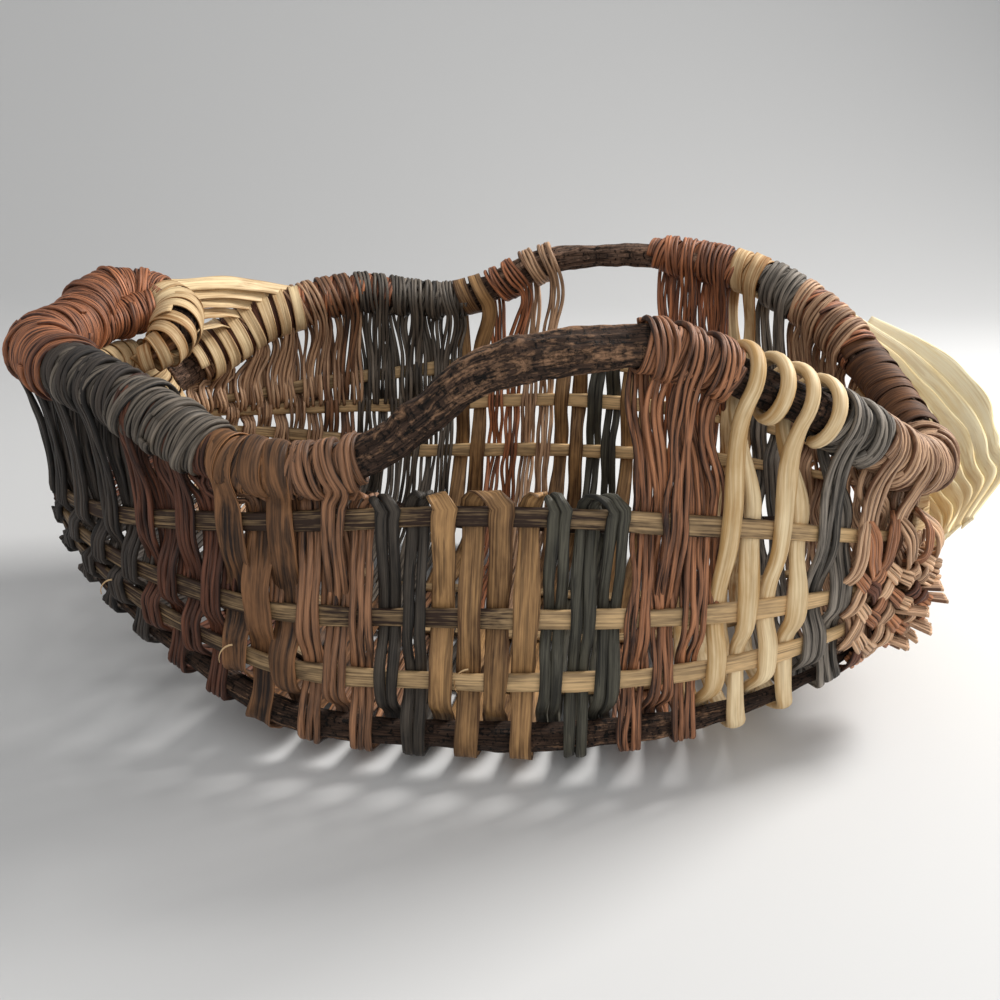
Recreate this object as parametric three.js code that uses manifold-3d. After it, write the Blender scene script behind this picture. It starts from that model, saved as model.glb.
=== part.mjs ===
// A gathering basket in the ribbed style: two bark-covered rim branches with a bare handle on each
// long side, two base branches, flat ribs from ear to ear, and dyed strips woven across them.
// Millimetres, +Z up. X runs along the basket from the curled end (-X) to the flared end (+X),
// the front faces -Y, and the origin is on the floor under the middle of the whole.

import * as THREE from "three";
import Module from "manifold-3d";
import { mergeVertices } from "three/addons/utils/BufferGeometryUtils.js";

// Tub: the middle surface of the woven wall
const halfLength = 232;
const halfWidth = 160;
const planPower = 2.3; // roundness of the tub seen from above
const sectionPower = 6; // squareness of the tub seen from the end
const keelRise = { share: 0.6, from: 0.3, power: 1.15 }; // of the bottom towards the curled tip
const floorFlat = 3; // how much of the bottom's crown is pressed flat

// Stock
const stripWidth = 10;
const stripThickness = 2;
const stripShare = 0.78; // of the room between neighbours that a strip may fill
const ribMargin = 0.9; // how far a strip stays flat past a rib's edge
const ribWidth = 9;
const ribTipWidth = 4;
const ribThickness = 3;
const ribTaper = 0.22; // share of a rib over which each end narrows to its tip
const clearance = 0.35; // between pieces that touch in the real basket
const rimRadius = 8.6; // the bare handles
const rimEndRadius = 12; // where the rim branches are thickest, at the curled end
const rimTipRadius = 10.5; // where the two branches meet, at the flared end
const baseRadius = 7;
const baseClearance = 0.9; // from a base branch to the strips that bend round it
const baseTipRadius = 2.2;
const baseTaper = 0.4; // share of a base branch over which each end narrows
const earThickness = 6;
const wallSink = 3; // of an ear's wall into its cap
const backRimOverlap = 3; // of the back rim branch with the curled ear

// Heights along X: [x as a share of halfLength, height]
const shoulderLine = [
  [-1, 110], [-0.7, 113], [-0.4, 121], [0.1, 132], [0.5, 127], [0.78, 114], [1, 96],
];
const frontRimLine = [
  [-1, 176], [-0.86, 180], [-0.62, 171], [-0.4, 152], [-0.25, 148], [-0.12, 155], [0, 175],
  [0.12, 195], [0.35, 204], [0.47, 199], [0.64, 181], [0.78, 161], [0.9, 140], [1, 128],
];
const backRimLine = [
  [-1, 119], [-0.9, 134], [-0.8, 149], [-0.7, 163], [-0.48, 176], [-0.3, 172], [-0.2, 171], [-0.08, 180], [0.08, 197],
  [0.35, 204], [0.6, 197], [0.76, 182], [0.87, 163], [0.97, 138], [1, 128],
];
// The front branch goes on past the curled tip: points of its hook
const hookPoints = [[-236, 26, 183], [-233, 51, 187], [-215, 66, 183], [-196, 57, 176], [-190, 37, 169]];

// Ribs, by their height at the middle of the basket; the base branches are the round ones
const frontRibHeights = [84, 53];
const backRibHeights = [104, 69];
const baseBranchHeight = 20;
const floorRibOffset = 64; // of the two floor ribs from the keel

// Ears: how far they reach from the tips, along the front and the back shoulder
const earReach = { front: 74, back: 90 };
const earGap = 2.6; // between an ear's edge and the rib ends
const earBandFall = { from: 45, to: 76, height: 116 }; // where the curled end's wall drops behind the hook
const flare = { from: -44, to: 74, footFall: 16, lip: 121, spread: 20, thickness: 3 };

// Strips from the curled end to the flared end: [name, passes from side to side, colour]
const sections = [
  ["charcoal_weaver_left", 8, 0x3a3634],
  ["russet_weaver_left", 6, 0x7a4a36],
  ["umber_weaver", 4, 0x54382c],
  ["charcoal_weaver_middle", 2, 0x2f3133],
  ["honey_weaver", 4, 0xb5885a],
  ["bottle_weaver", 4, 0x363b38],
  ["rose_weaver", 2, 0x8a5b4c],
  ["cream_weaver", 4, 0xd9bd8e],
  ["slate_weaver_right", 2, 0x48484a],
  ["russet_weaver_right", 4, 0x8c5e4d],
];
const bareHandle = { front: [-0.15, 0.36], back: [0.06, 0.36] }; // shares of halfLength left unwrapped
const wrapSlant = 3.4; // how far a wrap round the rim starts before its strip and ends after the next
const wrapTurns = 5 / 3;
const wrapSteps = 12;
const wrapWidth = 8.2;
const wrapClearance = 0.8;
const wrapStart = -Math.PI / 6; // from the outward level, so that the wrap leaves the wall's line smoothly
const sectionGap = 4; // between the strips of two colours where they meet on the rim
const foldRise = 2.6; // of a fold's middle above the top rib's edge

// Bindings: helical strips round the rim branches beside the woven part
const bindingWidth = 8.2;
const bindingPitch = 9.6;
const bindingSteps = 8;
const bindingShare = 0.64; // of the room between turns that the strip may fill
const bindingGap = 1.2; // between a binding and the last wrap beside it
const rollGapSteps = 6;
const tanRollSteps = 26; // of the natural strip at the end of the hook

const stationCount = sections.reduce((sum, [, passes]) => sum + passes, 0);
const weaveOffset = ribThickness / 2 + clearance + stripThickness / 2; // strip middle from wall middle
const floorLevel = weaveOffset + stripThickness / 2; // the wall's middle on the floor
const quarter = Math.PI / 2;
const up = new THREE.Vector3(0, 0, 1);

const power = (value, exponent) => Math.sign(value) * Math.abs(value) ** exponent;

// A smooth height along X through [share, height] pairs
function heightLine(pairs) {
  const curve = new THREE.SplineCurve(pairs.map(([share, z]) => new THREE.Vector2(share * halfLength, z)));
  const points = curve.getPoints(240);
  return (x) => {
    if (x <= points[0].x) return points[0].y;
    const after = points.findIndex((p) => p.x >= x);
    if (after < 0) return points.at(-1).y;
    const [a, b] = [points[after - 1], points[after]];
    return a.y + ((b.y - a.y) * (x - a.x)) / Math.max(b.x - a.x, 1e-6);
  };
}
const shoulderAt = heightLine(shoulderLine);
const rimHeightAt = { front: heightLine(frontRimLine), back: heightLine(backRimLine) };

// Plan of the wall at its shoulder: u runs from 0 at the curled tip to pi at the flared tip
const planX = (u) => -halfLength * power(Math.cos(u), 2 / planPower);
const planY = (u) => halfWidth * power(Math.sin(u), 2 / planPower);

const planOutward = (u) => {
  const tangent = new THREE.Vector3(planX(u + 0.01) - planX(u - 0.01), planY(u + 0.01) - planY(u - 0.01), 0);
  return new THREE.Vector3(-tangent.y, tangent.x, 0).normalize();
};

// u at a distance along the plan from the curled tip
const planTable = [0];
const planSteps = 2000;
for (let i = 1; i <= planSteps; i++) {
  const [a, b] = [((i - 1) / planSteps) * Math.PI, (i / planSteps) * Math.PI];
  planTable.push(planTable[i - 1] + Math.hypot(planX(b) - planX(a), planY(b) - planY(a)));
}
function planAngle(distance) {
  const i = planTable.findIndex((value) => value > distance);
  const k = (distance - planTable[i - 1]) / (planTable[i] - planTable[i - 1]);
  return ((i - 1 + k) / planSteps) * Math.PI;
}
function planDistance(u) {
  const i = Math.min(Math.floor((u / Math.PI) * planSteps), planSteps - 1);
  return THREE.MathUtils.lerp(planTable[i], planTable[i + 1], (u / Math.PI) * planSteps - i);
}

// Point on the wall's middle surface: u along the basket, t round it from the front shoulder
// (-90 degrees) under the keel (0) to the back shoulder (90 degrees). Each rib is a line of one t.
function tub(u, t) {
  const x = planX(u);
  const spread = power(Math.sin(u), 2 / planPower);
  const y = halfWidth * spread * power(Math.sin(t), 2 / sectionPower);
  const past = THREE.MathUtils.clamp((-x / halfLength - keelRise.from) / (1 - keelRise.from), 0, 1);
  const rise = keelRise.share * past ** keelRise.power;
  const depth = spread * power(Math.cos(t), 2 / sectionPower) * (1 - rise);
  const crown = (shoulderAt(x) - floorLevel + floorFlat) * (1 - depth);
  return new THREE.Vector3(x, y, floorLevel + Math.max(0, crown - floorFlat));
}

// Outward normal of the wall's middle surface
function tubNormal(u, t) {
  const step = 0.01;
  const low = Math.max(t - step, -quarter);
  const high = Math.min(t + step, quarter);
  const along = tub(u + step, t).sub(tub(u - step, t));
  const round = tub(u, high).sub(tub(u, low));
  return along.cross(round).normalize().negate();
}

// t of the rib that passes the middle of the basket at this height, or at this distance from the keel
function angleAtHeight(z) {
  const depth = 1 - (z - floorLevel + floorFlat) / (shoulderAt(0) - floorLevel + floorFlat);
  return Math.acos(depth ** (sectionPower / 2));
}
const angleAtOffset = (y) => Math.asin((y / halfWidth) ** (sectionPower / 2));

const ribs = [
  { name: "front_rib_1", t: -quarter },
  ...frontRibHeights.map((z, i) => ({ name: `front_rib_${i + 2}`, t: -angleAtHeight(z) })),
  { name: "front_base_branch", t: -angleAtHeight(baseBranchHeight), round: true },
  { name: "front_floor_rib", t: -angleAtOffset(floorRibOffset) },
  { name: "keel_rib", t: 0 },
  { name: "back_floor_rib", t: angleAtOffset(floorRibOffset) },
  { name: "back_base_branch", t: angleAtHeight(baseBranchHeight), round: true },
  ...backRibHeights.map((z, i) => ({ name: `back_rib_${i + 2}`, t: angleAtHeight(z) })).reverse(),
  { name: "back_rib_1", t: quarter },
];

// Where the ear ends, on the line of t
function earEdge(t, extra = 0) {
  const reach = THREE.MathUtils.lerp(earReach.front, earReach.back, (t + quarter) / Math.PI);
  return planAngle(reach + extra);
}

class RibCurve extends THREE.Curve {
  constructor(t) {
    super();
    this.t = t;
    this.edge = earEdge(t, earGap);
    this.arcLengthDivisions = 400;
  }
  uAt(k) {
    return THREE.MathUtils.lerp(this.edge, Math.PI - this.edge, k);
  }
  getPoint(k, target = new THREE.Vector3()) {
    return target.copy(tub(this.uAt(k), this.t));
  }
}
for (const rib of ribs) rib.curve = new RibCurve(rib.t);

const blend = (a, b, k) => a + (b - a) * THREE.MathUtils.smoothstep(k, 0, 1);
const baseRadiusAt = (k) => blend(baseTipRadius, baseRadius, Math.min(k, 1 - k) / baseTaper);
const rimRadiusAt = (x) => {
  const share = x / halfLength;
  if (share < 0) return blend(rimEndRadius, rimRadius, (share + 1) / 0.8);
  return blend(rimRadius, rimTipRadius, (share - 0.4) / 0.5);
};

// Point on a rim branch above the shoulder at u, with its outward and upward directions
function rimFrame(u, side) {
  const mirror = side === "front" ? -1 : 1;
  const at = (v) => new THREE.Vector3(planX(v), mirror * planY(v), rimHeightAt[side](planX(v)));
  const out = planOutward(u);
  out.y *= mirror;
  const along = at(u + 0.01).sub(at(u - 0.01)).normalize();
  const rise = new THREE.Vector3().crossVectors(along, out).normalize();
  if (rise.z < 0) rise.negate();
  return { p: at(u), out, rise, radius: rimRadiusAt(planX(u)) };
}

// Rings for a strip through points { p: middle, n: thickness way, width, way }: each ring is square
// to its way, or else to the mean of the ways in and out, and the thickness way keeps its side from
// ring to ring
function strip(points, thickness) {
  const vertices = [];
  let previous = points[0].n;
  points.forEach(({ p, n, width, way: ownWay }, i) => {
    const before = points[Math.max(i - 1, 0)].p;
    const after = points[Math.min(i + 1, points.length - 1)].p;
    const way = new THREE.Vector3();
    if (i > 0) way.add(p.clone().sub(before).normalize());
    if (i + 1 < points.length) way.add(after.clone().sub(p).normalize());
    way.normalize();
    if (ownWay) {
      const sense = Math.sign(ownWay.dot(way));
      way.copy(ownWay).multiplyScalar(sense);
    }
    const side = n.dot(previous) < 0 ? n.clone().negate() : n.clone();
    previous = side;
    const w = new THREE.Vector3().crossVectors(way, side).normalize();
    const flat = new THREE.Vector3().crossVectors(w, way).normalize();
    for (const [across, outward] of [[1, 1], [-1, 1], [-1, -1], [1, -1]]) {
      const corner = p.clone()
        .addScaledVector(w, (across * width) / 2)
        .addScaledVector(flat, (outward * thickness) / 2);
      corner.z = Math.max(corner.z, 0); // the floor presses the strips flat
      vertices.push(...corner.toArray());
    }
  });
  return closedTube(vertices, points.length, 4);
}

// A round branch through rings { p, a, b, radius } with a and b square to it
function branch(rings, sides) {
  const vertices = [];
  for (const { p, a, b, radius } of rings) {
    for (let k = 0; k < sides; k++) {
      const turn = ((k + 0.5) / sides) * 2 * Math.PI;
      const q = p.clone()
        .addScaledVector(a, Math.cos(turn) * radius)
        .addScaledVector(b, Math.sin(turn) * radius);
      vertices.push(...q.toArray());
    }
  }
  return closedTube(vertices, rings.length, sides);
}

// Joins rings of vertices into one closed body with a flat end at each side
function closedTube(vertices, rings, sides) {
  const index = [];
  for (let i = 0; i + 1 < rings; i++) {
    for (let k = 0; k < sides; k++) {
      const a = i * sides + k;
      const b = i * sides + ((k + 1) % sides);
      index.push(a, b, b + sides, a, b + sides, a + sides);
    }
  }
  const last = (rings - 1) * sides;
  for (let k = 1; k + 1 < sides; k++) index.push(0, k + 1, k, last, last + k, last + k + 1);
  return solid(vertices, index);
}

// A sheet between an outer and an inner grid of points, closed round its edges
function sheet(rows, columns, pointAt) {
  const vertices = [];
  for (const layer of [1, -1]) {
    for (let i = 0; i <= rows; i++) {
      for (let j = 0; j <= columns; j++) vertices.push(...pointAt(i / rows, j / columns, layer).toArray());
    }
  }
  const inner = (rows + 1) * (columns + 1);
  const at = (i, j) => i * (columns + 1) + j;
  const index = [];
  const quad = (a, b, c, d) => index.push(a, b, c, a, c, d);
  for (let i = 0; i < rows; i++) {
    for (let j = 0; j < columns; j++) {
      quad(at(i, j), at(i, j + 1), at(i + 1, j + 1), at(i + 1, j));
      quad(inner + at(i, j), inner + at(i + 1, j), inner + at(i + 1, j + 1), inner + at(i, j + 1));
    }
    quad(at(i, 0), at(i + 1, 0), inner + at(i + 1, 0), inner + at(i, 0));
    quad(at(i, columns), inner + at(i, columns), inner + at(i + 1, columns), at(i + 1, columns));
  }
  for (let j = 0; j < columns; j++) {
    quad(at(0, j), inner + at(0, j), inner + at(0, j + 1), at(0, j + 1));
    quad(at(rows, j), at(rows, j + 1), inner + at(rows, j + 1), inner + at(rows, j));
  }
  return solid(vertices, index);
}

// Welds the points, drops the triangles that a pole has closed up and turns the faces outwards
function solid(vertices, index) {
  const geometry = new THREE.BufferGeometry();
  geometry.setAttribute("position", new THREE.Float32BufferAttribute(vertices, 3));
  geometry.setIndex(index);
  const welded = mergeVertices(geometry, 1e-3);
  const from = welded.index.array;
  const faces = [];
  for (let i = 0; i < from.length; i += 3) {
    const [a, b, c] = [from[i], from[i + 1], from[i + 2]];
    if (a !== b && b !== c && c !== a) faces.push([a, b, c]);
  }
  welded.setIndex(faces.flat());
  if (volume(welded) < 0) welded.setIndex(faces.flatMap(([a, b, c]) => [a, c, b]));
  return welded;
}

function volume(geometry) {
  const at = geometry.getAttribute("position");
  const [a, b, c] = [new THREE.Vector3(), new THREE.Vector3(), new THREE.Vector3()];
  let sum = 0;
  for (let i = 0; i < geometry.index.count; i += 3) {
    a.fromBufferAttribute(at, geometry.index.getX(i));
    b.fromBufferAttribute(at, geometry.index.getX(i + 1));
    c.fromBufferAttribute(at, geometry.index.getX(i + 2));
    sum += a.dot(b.cross(c)) / 6;
  }
  return sum;
}

const wasm = await Module();
wasm.setup();

function toManifold(geometry) {
  const mesh = new wasm.Mesh({
    numProp: 3,
    vertProperties: new Float32Array(geometry.getAttribute("position").array),
    triVerts: new Uint32Array(geometry.index.array),
  });
  return new wasm.Manifold(mesh);
}

function fromManifold(body) {
  const mesh = body.getMesh();
  const geometry = new THREE.BufferGeometry();
  geometry.setAttribute("position", new THREE.Float32BufferAttribute(mesh.vertProperties, mesh.numProp));
  geometry.setIndex(Array.from(mesh.triVerts));
  return geometry;
}

const branchSides = 8;
const basket = new THREE.Group();
basket.name = "gathering_basket";

function add(name, geometry, color, roughness = 0.75) {
  const mesh = new THREE.Mesh(geometry, new THREE.MeshStandardMaterial({ color, roughness, metalness: 0 }));
  mesh.name = name;
  basket.add(mesh);
}

// Ribs and base branches: straight between knots, with two stations of the weave on each length
for (const rib of ribs) {
  rib.knots = Array.from({ length: stationCount / 2 + 1 }, (_, i) => {
    const share = (2 * i) / stationCount;
    const k = rib.curve.getUtoTmapping(share);
    const width = blend(ribTipWidth, ribWidth, Math.min(share, 1 - share) / ribTaper);
    return { p: rib.curve.getPoint(k), n: tubNormal(rib.curve.uAt(k), rib.t), width, radius: baseRadiusAt(share) };
  });
  if (rib.round) {
    const rings = rib.knots.map(({ p, n, radius }, i) => {
      const along = rib.knots[Math.min(i + 1, rib.knots.length - 1)].p.clone().sub(rib.knots[Math.max(i - 1, 0)].p);
      const b = new THREE.Vector3().crossVectors(along, n).normalize();
      return { p, a: new THREE.Vector3().crossVectors(b, along).normalize(), b, radius };
    });
    add(rib.name, branch(rings, branchSides), 0x3b2c25, 0.95);
  } else {
    add(rib.name, strip(rib.knots, ribThickness), 0xc9a77a, 0.7);
  }
}

// Rim branches: the front one runs from the flared tip round the curled tip into its hook
const rimTipGap = 1; // of each branch's end from the flared tip
const rimStations = 34;
const frontRimPath = [];
for (let i = 0; i <= rimStations; i++) {
  frontRimPath.push(rimFrame(planAngle(THREE.MathUtils.lerp(planTable.at(-1) - rimTipGap, 1, i / rimStations)), "front"));
}
const hookFrames = hookPoints.map((p) => ({ p: new THREE.Vector3(...p), radius: rimEndRadius }));
const frontRimCurve = new THREE.CatmullRomCurve3([...frontRimPath, ...hookFrames].map(({ p }) => p));
const backRimStart = earReach.back - backRimOverlap;
const backRimPath = [];
for (let i = 0; i <= rimStations; i++) {
  const distance = THREE.MathUtils.lerp(backRimStart, planTable.at(-1) - rimTipGap, i / rimStations);
  backRimPath.push(rimFrame(planAngle(distance), "back"));
}
const backRimCurve = new THREE.CatmullRomCurve3(backRimPath.map(({ p }) => p));

function rimRing(curve, k) {
  const p = curve.getPointAt(k);
  const along = curve.getTangentAt(k);
  const a = new THREE.Vector3().crossVectors(along, up).normalize();
  const b = new THREE.Vector3().crossVectors(along, a).normalize();
  const radius = rimRadiusAt(p.x);
  return { p, a, b, radius };
}
const rimRings = (curve, steps) => Array.from({ length: steps + 1 }, (_, i) => rimRing(curve, i / steps));
add("front_rim_branch", branch(rimRings(frontRimCurve, 52), branchSides), 0x40302a, 0.95);
add("back_rim_branch", branch(rimRings(backRimCurve, 42), branchSides), 0x40302a, 0.95);

// Crossing of the strip at station j with rib r: over it on the outside or behind it on the inside
function onKnots(rib, j) {
  const i = Math.floor(j / 2);
  const f = j % 2 === 0 ? 0.25 : 0.75;
  const [a, b] = [rib.knots[i], rib.knots[i + 1]];
  const along = b.p.clone().sub(a.p).normalize();
  const n = a.n.clone().lerp(b.n, f);
  n.addScaledVector(along, -n.dot(along)).normalize();
  const mix = (key) => THREE.MathUtils.lerp(a[key], b[key], f);
  return { p: a.p.clone().lerp(b.p, f), n, along, width: mix("width"), radius: mix("radius"), pitch: a.p.distanceTo(b.p) / 2 };
}

function crossingPoints(r, j) {
  const rib = ribs[r];
  const { p, n, along, width, radius, pitch } = onKnots(rib, j);
  const before = onKnots(ribs[Math.max(r - 1, 0)], j).p;
  const after = onKnots(ribs[Math.min(r + 1, ribs.length - 1)], j).p;
  const way = after.clone().sub(before);
  way.addScaledVector(n, -way.dot(n)).normalize();
  const slant = way.dot(along);
  const square = Math.sqrt(1 - slant * slant);
  const own = Math.min(stripWidth, pitch * square * stripShare);
  const outside = (r + j) % 2 === 0 ? 1 : -1;
  const side = n.clone().multiplyScalar(outside);
  const overlap = (own / 2) * Math.abs(slant);
  const fall = (q) => {
    const v = q.clone().sub(p);
    return THREE.MathUtils.clamp(Math.atan2(radius + 2 * weaveOffset - v.dot(side), Math.abs(v.dot(way))), 0.25, 1.1);
  };
  const offsets = rib.round ? roundOffsets(radius, overlap, fall(before), fall(after)) : flatOffsets(width, overlap);
  return offsets.map(([w, o]) => ({
    p: p.clone().addScaledVector(way, w / square).addScaledVector(side, o),
    n: side,
    width: own,
    way: rib.round ? null : way,
  }));
}
// [across the rib, out from it] of the points that carry a strip past a flat rib, and past a round one
const flatOffsets = (width, overlap) => [-1, 1].map((side) => [side * (width / 2 + ribMargin + overlap), weaveOffset]);
const roundOffsets = (radius, overlap, fallBefore, fallAfter) => {
  const reach = (radius + baseClearance + stripThickness / 2) / Math.cos((fallBefore + fallAfter) / 4);
  return [-fallBefore, (fallAfter - fallBefore) / 2, fallAfter].map((turn) => [
    Math.sin(turn) * (reach + overlap),
    Math.cos(turn) * reach + 0.4 * overlap,
  ]);
};

// Distance of a station along the plan from the curled tip, carried on past the last ones
function stationDistance(side, j) {
  const rib = side === "front" ? ribs[0] : ribs.at(-1);
  const last = stationCount - 1;
  if (j < 0) return 2 * stationDistance(side, 0) - stationDistance(side, -j);
  if (j > last) return 2 * stationDistance(side, last) - stationDistance(side, 2 * last - j);
  return planDistance(rib.curve.uAt(rib.curve.getUtoTmapping((j + 0.5) / stationCount)));
}

// The turns by which a strip goes over the rim from one pass to the next: f runs from 0 to 1
function rimWrap(side, j) {
  const rib = side === "front" ? ribs[0] : ribs.at(-1);
  const [from, to] = [stationDistance(side, j), stationDistance(side, j + 1)];
  const startsOutside = side === "back";
  const bare = bareHandle[side].map((share) => share * halfLength);
  const x = planX(planAngle((from + to) / 2));
  if (x > bare[0] && x < bare[1]) return ribFold(rib, from, to, startsOutside);
  return Array.from({ length: wrapSteps + 1 }, (_, i) => {
    const f = i / wrapSteps;
    const along = THREE.MathUtils.lerp(from - wrapSlant, to + wrapSlant, f);
    const frame = rimFrame(planAngle(along), side);
    const start = startsOutside ? wrapStart : Math.PI - wrapStart;
    const turn = start + (startsOutside ? 1 : -1) * f * wrapTurns * 2 * Math.PI;
    return onRim(frame, turn, (Math.PI * wrapTurns) / wrapSteps, wrapWidth);
  });
}

// A point of a strip wound on a branch: turned from the outward level up over the top
function onRim(frame, turn, halfStep, width) {
  const radial = frame.out.clone().multiplyScalar(Math.cos(turn)).addScaledVector(frame.rise, Math.sin(turn));
  const reach = (frame.radius + wrapClearance + stripThickness / 2) / Math.cos(halfStep);
  return { p: frame.p.clone().addScaledVector(radial, reach), n: radial, width };
}

// Under a bare handle the strip turns back over the top rib instead
function ribFold(rib, from, to, startsOutside) {
  const top = ribWidth / 2 + foldRise;
  const mirror = rib === ribs[0] ? -1 : 1;
  return [0, 1, 2, 3, 4].map((i) => {
    const along = THREE.MathUtils.lerp(from * 0.75 + to * 0.25, from * 0.25 + to * 0.75, i / 4);
    const u = planAngle(along);
    const out = planOutward(u);
    out.y *= mirror;
    const turn = (startsOutside ? i : 4 - i) * (Math.PI / 4);
    const radial = out.clone().multiplyScalar(Math.cos(turn)).addScaledVector(up, Math.sin(turn));
    const p = tub(u, rib.t).addScaledVector(up, top).addScaledVector(radial, weaveOffset);
    return { p, n: radial, width: stripWidth * 0.85 };
  });
}

// Each strip: its passes from side to side, joined over the rims
let firstStation = 0;
for (const [name, passes, color] of sections) {
  const lastStation = firstStation + passes - 1;
  const points = [];
  points.push(...halfWrap(rimWrap("front", firstStation - 1), false));
  for (let j = firstStation; j <= lastStation; j++) {
    const order = ribs.map((_, r) => (j % 2 === 0 ? r : ribs.length - 1 - r));
    for (const r of order) {
      const crossings = crossingPoints(r, j);
      points.push(...(j % 2 === 0 ? crossings : crossings.reverse()));
    }
    if (j < lastStation) points.push(...rimWrap(j % 2 === 0 ? "back" : "front", j));
  }
  points.push(...halfWrap(rimWrap("front", lastStation), true));
  add(name, strip(points, stripThickness), color);
  firstStation = lastStation + 1;
}

// The half of a wrap that belongs to the strip before it or after it, short of the middle
function halfWrap(points, before) {
  const middle = (points.length - 1) / 2;
  const kept = before ? points.slice(0, middle + 1) : points.slice(middle);
  const end = before ? kept.at(-1) : kept[0];
  const next = before ? kept.at(-2) : kept[1];
  end.p = end.p.clone().lerp(next.p, sectionGap / 2 / end.p.distanceTo(next.p));
  return kept;
}

// Bindings wound on the rim branches past the woven part, from one share of a curve to another; on
// the inside of a bend the turns crowd and the strip narrows with them
function binding(curve, from, to) {
  const length = Math.abs(to - from) * curve.getLength();
  const steps = Math.round((length / bindingPitch) * bindingSteps);
  const points = Array.from({ length: steps + 1 }, (_, i) => {
    const { p, a, b, radius } = rimRing(curve, THREE.MathUtils.lerp(from, to, i / steps));
    const frame = { p, out: a, rise: b, radius };
    return onRim(frame, (i / bindingSteps) * 2 * Math.PI, Math.PI / bindingSteps, bindingWidth);
  });
  const room = points.map(({ p }, i) => {
    const turns = [points[i - bindingSteps], points[i + bindingSteps]].filter(Boolean);
    return Math.min(...turns.map((q) => q.p.distanceTo(p)));
  });
  points.forEach((point, i) => (point.width = Math.min(bindingWidth, room[i] * bindingShare)));
  return points;
}

// Least gap between the turns of a binding, from points along the facing edges of the strip
function leastGap(points) {
  const edges = points.flatMap((point, i) => {
    if (i + 1 === points.length) return [];
    const next = points[i + 1];
    const way = next.p.clone().sub(point.p).normalize();
    return [0, 0.25, 0.5, 0.75].map((f) => {
      const n = point.n.clone().lerp(next.n, f);
      const w = new THREE.Vector3().crossVectors(way, n).normalize();
      const p = point.p.clone().lerp(next.p, f);
      const half = THREE.MathUtils.lerp(point.width, next.width, f) / 2;
      return { turn: (i + f) / bindingSteps, ends: [1, -1].map((k) => p.clone().addScaledVector(w, k * half)) };
    });
  });
  let least = Infinity;
  for (const a of edges) {
    for (const b of edges) {
      if (b.turn - a.turn < 0.5 || b.turn - a.turn > 1.6) continue;
      for (const p of a.ends) for (const q of b.ends) least = Math.min(least, p.distanceTo(q));
    }
  }
  return least;
}

// Share of a curve's length at its point nearest to another point
function shareNear(curve, point) {
  const samples = curve.getSpacedPoints(1500);
  const best = samples.reduce((b, p, i) => (p.distanceToSquared(point) < samples[b].distanceToSquared(point) ? i : b), 0);
  return best / 1500;
}

const planEnd = planTable.at(-1);
const bindingRoom = (wrapWidth + bindingWidth) / 2 + bindingGap;
const wrapMiddle = (j) => (stationDistance("front", j) + stationDistance("front", j + 1)) / 2;
const shareAt = (curve, side, distance) => shareNear(curve, rimFrame(planAngle(distance), side).p);
const rollStart = shareAt(frontRimCurve, "front", wrapMiddle(-1) - bindingRoom);
const rollEnd = 1 - 4 / frontRimCurve.getLength();
const tipInset = rimTipGap + bindingWidth / 2 + 1;
const roll = binding(frontRimCurve, rollStart, rollEnd);
const rollChange = roll.length - tanRollSteps;
const frontTip = binding(frontRimCurve, tipInset / frontRimCurve.getLength(),
  shareAt(frontRimCurve, "front", wrapMiddle(stationCount - 1) + bindingRoom));
const backTip = binding(backRimCurve, 1 - tipInset / backRimCurve.getLength(),
  shareAt(backRimCurve, "back", stationDistance("back", stationCount - 1) + wrapSlant + bindingRoom));
for (const [name, points, color] of [
  ["russet_roll_binding", roll.slice(0, rollChange - rollGapSteps), 0x8a4a33],
  ["tan_roll_binding", roll.slice(rollChange), 0xd0a466],
  ["front_tip_binding", frontTip, 0xc9a468],
  ["back_tip_binding", backTip, 0x8c5e45],
]) {
  console.log(`${name}: least gap between turns ${leastGap(points).toFixed(2)} mm`);
  add(name, strip(points, stripThickness), color);
}

// Ears: the woven pads that close the two ends, each a cap of the tub with a wall up to the rim
const tipPoint = (end, signedDistance) => {
  const u = planAngle(Math.abs(signedDistance));
  const side = signedDistance < 0 ? "front" : "back";
  return { u: end === "curled" ? u : Math.PI - u, side };
};
// Its edge runs straight from rib to rib, as the strips beside it do
function earCap(end) {
  return sheet(3, ribs.length - 1, (i, j, layer) => {
    const { t } = ribs[Math.round(j * (ribs.length - 1))];
    const pole = end === "curled" ? 0 : Math.PI;
    const u = Math.abs(pole - earEdge(t) * i);
    const n = i === 0 ? new THREE.Vector3(end === "curled" ? -1 : 1, 0, 0) : tubNormal(u, t);
    return tub(i === 0 ? pole : u, t).addScaledVector(n, (layer * earThickness) / 2);
  });
}
function wallTop(end, distance) {
  const { u, side } = tipPoint(end, distance);
  const under = (rim) => {
    const { p, rise, radius } = rimFrame(u, rim);
    return p.z - (radius + wrapClearance + stripThickness) / Math.cos(Math.PI / bindingSteps) / rise.z - 1;
  };
  if (end === "flared" || distance < earBandFall.from) return under(end === "curled" ? "front" : side);
  const k = (distance - earBandFall.from) / (earBandFall.to - earBandFall.from);
  return THREE.MathUtils.lerp(under("front"), earBandFall.height, k);
}
function earWall(end) {
  return sheet(1, 10, (i, j, layer) => {
    const distance = THREE.MathUtils.lerp(-earReach.front + 2, earReach.back - 2, j);
    const { u, side } = tipPoint(end, distance);
    const out = planOutward(u);
    const y = planY(u) * (side === "front" ? -1 : 1);
    out.y *= side === "front" ? -1 : 1;
    const x = planX(u);
    const z = THREE.MathUtils.lerp(shoulderAt(x) - wallSink, wallTop(end, distance), i);
    return new THREE.Vector3(x, y, z).addScaledVector(out, (layer * earThickness) / 2);
  });
}
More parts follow.
